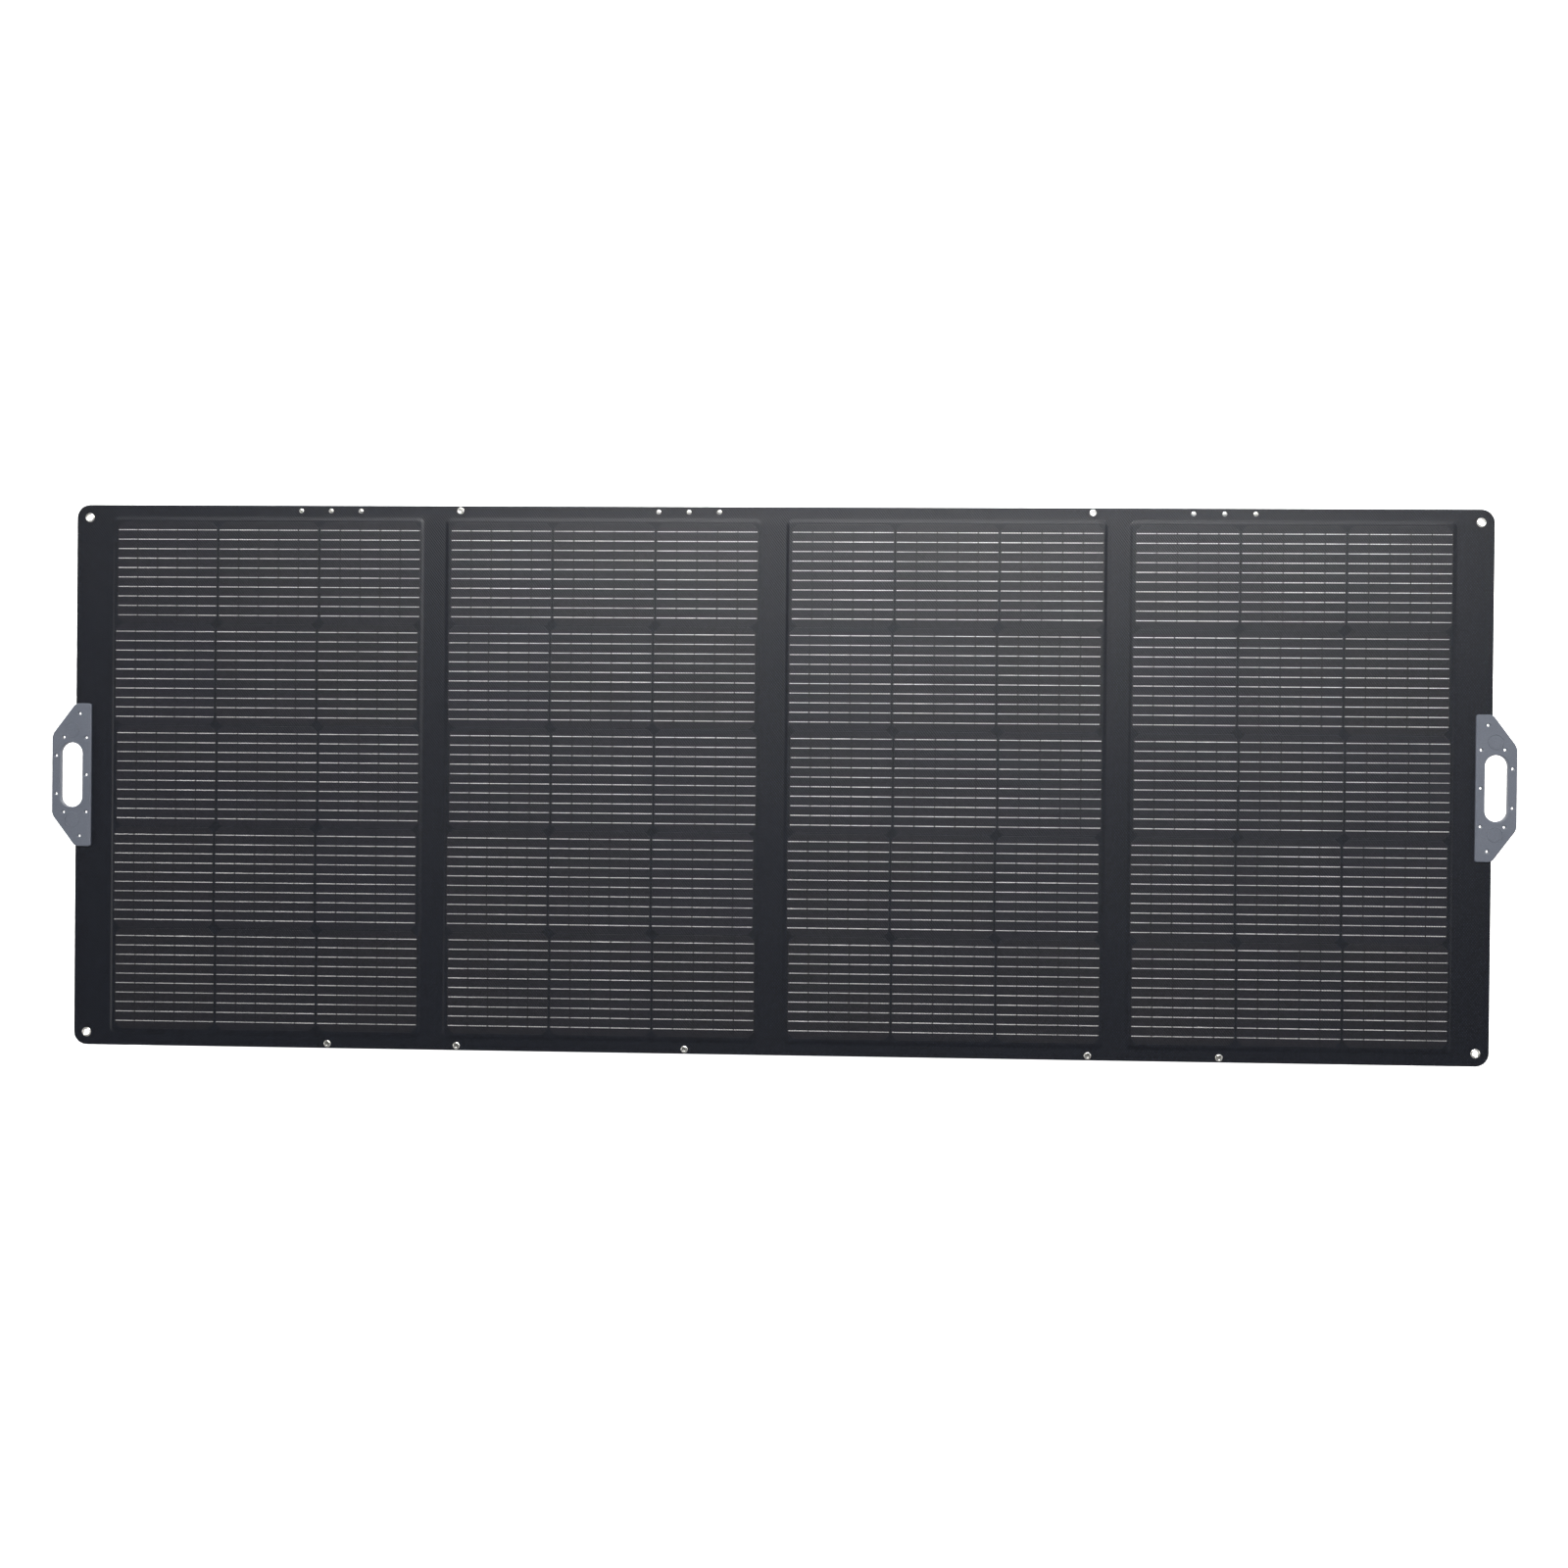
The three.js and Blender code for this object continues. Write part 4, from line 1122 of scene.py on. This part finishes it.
class BLANKET_OT_kickstands(bpy.types.Operator):
    """Fabric-covered kickstand legs with bound edges, on riveted hinges"""
    bl_idname = "blanket.kickstands"
    bl_label = "Kickstands"

    KNUCKLE = 3.2 * MM
    PLATE_KNUCKLES = ((-70, -40), (-10, 10), (40, 70))
    LEG_KNUCKLES = ((-38, -12), (12, 38))
    PLATE = 1.6 * MM
    PLATE_FOOT = 471 * MM
    PIN = ((0, -71.0), (1.7, -70.9), (2.1, -70.4), (1.3, -70.0), (1.3, 70.0), (2.1, 70.4), (1.7, 70.9),
           (0, 71.0))
    FOOT = -472 * MM
    TOP = 461 * MM
    THICKNESS = 4.6 * MM
    CORNERS = (14 * MM, 12 * MM)
    BINDING = 9 * MM
    # The tape bulges a little between its edges, and stands this far above the cloth that it binds.
    BINDING_BULGE = 0.15 * MM
    BINDING_STEP = 0.35 * MM
    TAB = (16 * MM, -488.5 * MM, -455 * MM)
    TAB_LEVELS = (1.6 * MM, 3.8 * MM)

    def add_knuckles(self, bm, spans, middle, axis_y, axis_z, tongue):
        """Rolled knuckles on the hinge line, each with the tongue that holds it."""
        tongue_y, low, high = tongue
        for start, end in spans:
            first, last = middle + start * MM, middle + end * MM
            add_rod(bm, (first, axis_y, axis_z), (last, axis_y, axis_z), self.KNUCKLE, 32)
            add_block(bm, (first, min(axis_y, tongue_y), low), (last, max(axis_y, tongue_y), high))

    def make_board(self, body, middle, half_width):
        """The leg's board, its cloth framed by a binding tape, with its stitches."""
        corners = box_corners(middle - half_width, middle + half_width, self.FOOT, self.TOP, *self.CORNERS)
        levels = rim_levels(0.0, self.THICKNESS - self.BINDING_BULGE, 1.2 * MM)
        levels += [(self.BINDING, self.THICKNESS),
                   (self.BINDING + 0.6 * MM, self.THICKNESS - self.BINDING_STEP)]
        bm, upper = make_plate(corners, levels)
        for face in upper:
            face.material_index = 1
        turn_over(bm, self.THICKNESS / 2)
        make_piece(f"{body}_board", bm, ("binding", "fabric"), body, (f"{body}_leg",))
        seam = bmesh.new()
        inset = self.BINDING - 2 * MM
        reach = half_width - inset
        stitch_loop(seam, box_corners(middle - reach, middle + reach, self.FOOT + inset,
                                      self.TOP - inset, 0.0), 0.0)
        reach = half_width - 12 * MM
        for y in (self.FOOT + 60 * MM, self.TOP - 60 * MM):
            stitch_row(seam, (middle - reach, y), (middle + reach, y), self.BINDING_STEP)
        make_piece(f"{body}_seams", seam, "thread", body)

    def make_leg(self, number, middle, axis_y, axis_z):
        body = f"kickstand_{number}"
        low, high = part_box(f"{body}_leg")
        self.make_board(body, middle, (high.x - low.x) / 2)
        half_tab, foot, top = self.TAB
        corners = box_corners(middle - half_tab, middle + half_tab, foot, top, 7.5 * MM, 1 * MM)
        tab, _upper = make_plate(corners, rim_levels(*self.TAB_LEVELS, 0.5 * MM, 3))
        make_piece(f"{body}_tab", tab, "binding", body)
        knuckles = bmesh.new()
        self.add_knuckles(knuckles, self.LEG_KNUCKLES, middle, axis_y, axis_z,
                          (self.TOP - 3 * MM, 1.4 * MM, self.THICKNESS - 0.4 * MM))
        make_piece(f"{body}_leg_knuckles", knuckles, "lacquer", body)

    def make_hinge(self, number, middle, axis_y, axis_z, leaf):
        node = f"kickstand_{number}_hinge_plate"
        low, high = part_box(node)
        plate_low = high.z - self.PLATE
        bm, _upper = make_plate(box_corners(low.x, high.x, self.PLATE_FOOT, high.y, 3 * MM),
                                rim_levels(plate_low, high.z, 0.4 * MM, 3))
        turn_over(bm, (plate_low + high.z) / 2)
        self.add_knuckles(bm, self.PLATE_KNUCKLES, middle, axis_y, axis_z,
                          (self.PLATE_FOOT + 3 * MM, plate_low, high.z - 0.2 * MM))
        make_piece(f"kickstand_{number}_hinge", bm, "lacquer", leaf, (node,))
        pin = make_turned(self.PIN, (middle, axis_y, axis_z), 32, Matrix.Rotation(math.pi / 2, 3, "Y"))
        make_piece(f"kickstand_{number}_hinge_pin", pin, "nickel", leaf,
                   (f"kickstand_{number}_pin",))

    def execute(self, context):
        axes = {joint["name"]: joint["pos_m"] for joint in frame["joints"]}
        for number in KICKSTANDS:
            middle, axis_y, axis_z = axes[f"kickstand_{number}_hinge"]
            self.make_leg(number, middle, axis_y, axis_z)
            self.make_hinge(number, middle, axis_y, axis_z, f"leaf_{number}")
        return {"FINISHED"}


class BLANKET_OT_box(bpy.types.Operator):
    """Low junction box with a screwed lid, its cable gland, and the boards inside the leaves"""
    bl_idname = "blanket.junction_box"
    bl_label = "Junction box"

    CORNER = 6 * MM
    SCREW_INSET = 7 * MM
    SCREW = ((0, 0.35), (0.9, 0.35), (1.1, -0.2), (1.9, -0.25), (2.3, 0.0), (2.4, 0.9), (0, 0.9))

    # The gland's ribs, in millimetres: the first one's place and width, then each one's step.
    RIBS = 5
    RIB_START, RIB_PITCH = 4.0, 1.9
    RIB_RADIUS, RIB_TAPER = 2.75, 0.09

    def shell(self, name, node, edge):
        low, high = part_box(node)
        bm, _upper = make_plate(box_corners(low.x, high.x, low.y, high.y, self.CORNER),
                                rim_levels(low.z, high.z, edge))
        turn_over(bm, (low.z + high.z) / 2)
        make_piece(name, bm, "box", LEAVES[-1], (node,))

    def screws(self):
        low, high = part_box("junction_box_lid")
        bm = bmesh.new()
        for x in (low.x + self.SCREW_INSET, high.x - self.SCREW_INSET):
            for y in (low.y + self.SCREW_INSET, high.y - self.SCREW_INSET):
                pour(bm, make_turned(self.SCREW, (x, y, 0.0), 32))
        make_piece("junction_box_screws", bm, "nickel", LEAVES[-1])

    def gland(self):
        low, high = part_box("cable_gland")
        middle = (low + high) / 2
        length = (high.y - low.y) / MM
        profile = [(1.5, 0.0), (2.7, 0.0), (2.9, 0.3), (2.9, 3.2), (2.6, 3.5)]
        for rib in range(self.RIBS):
            start = self.RIB_START + rib * self.RIB_PITCH
            width = self.RIB_RADIUS - rib * self.RIB_TAPER
            profile += [(width, start), (width, start + 1.1), (width - 0.5, start + 1.3),
                        (width - 0.5, start + 1.7)]
        profile += [(2.0, length - 0.2), (1.5, length), (1.5, 0.0)]
        bm = make_turned(profile, (middle.x, high.y, middle.z), 40, Matrix.Rotation(math.pi / 2, 3, "X"))
        make_piece("junction_box_gland", bm, "box", LEAVES[-1], ("cable_gland",))

    def execute(self, context):
        self.shell("junction_box_body", "junction_box_base", 0.5 * MM)
        self.shell("junction_box_cover", "junction_box_lid", 0.8 * MM)
        self.screws()
        self.gland()
        for leaf in LEAVES:
            dress_node(f"{leaf}_board", "board")
        return {"FINISHED"}


class BLANKET_PT_panel(bpy.types.Panel):
    """Lists the operators that build the blanket"""
    bl_idname = "BLANKET_PT_panel"
    bl_label = "Solar Blanket"
    bl_space_type = "VIEW_3D"
    bl_region_type = "UI"
    bl_category = "Solar Blanket"

    def draw(self, context):
        for operator in OPERATORS:
            self.layout.operator(operator.bl_idname)
        for group in (context.scene.blanket_sizes, context.scene.blanket_colours):
            for name in group.__annotations__:
                self.layout.prop(group, name)


OPERATORS = (
    BLANKET_OT_stage,
    BLANKET_OT_laminates,
    BLANKET_OT_wafers,
    BLANKET_OT_wires,
    BLANKET_OT_strips,
    BLANKET_OT_backs,
    BLANKET_OT_handles,
    BLANKET_OT_metal,
    BLANKET_OT_kickstands,
    BLANKET_OT_box,
)
CLASSES = (BLANKET_PG_sizes, BLANKET_PG_colours, *OPERATORS, BLANKET_PT_panel)


def register():
    for cls in CLASSES:
        bpy.utils.register_class(cls)
    bpy.types.Scene.blanket_sizes = PointerProperty(type=BLANKET_PG_sizes)
    bpy.types.Scene.blanket_colours = PointerProperty(type=BLANKET_PG_colours)


def unregister():
    del bpy.types.Scene.blanket_colours
    del bpy.types.Scene.blanket_sizes
    for cls in reversed(CLASSES):
        bpy.utils.unregister_class(cls)


def main():
    register()
    for operator in OPERATORS:
        family, name = operator.bl_idname.split(".")
        getattr(getattr(bpy.ops, family), name)()


if __name__ == "__main__":
    main()
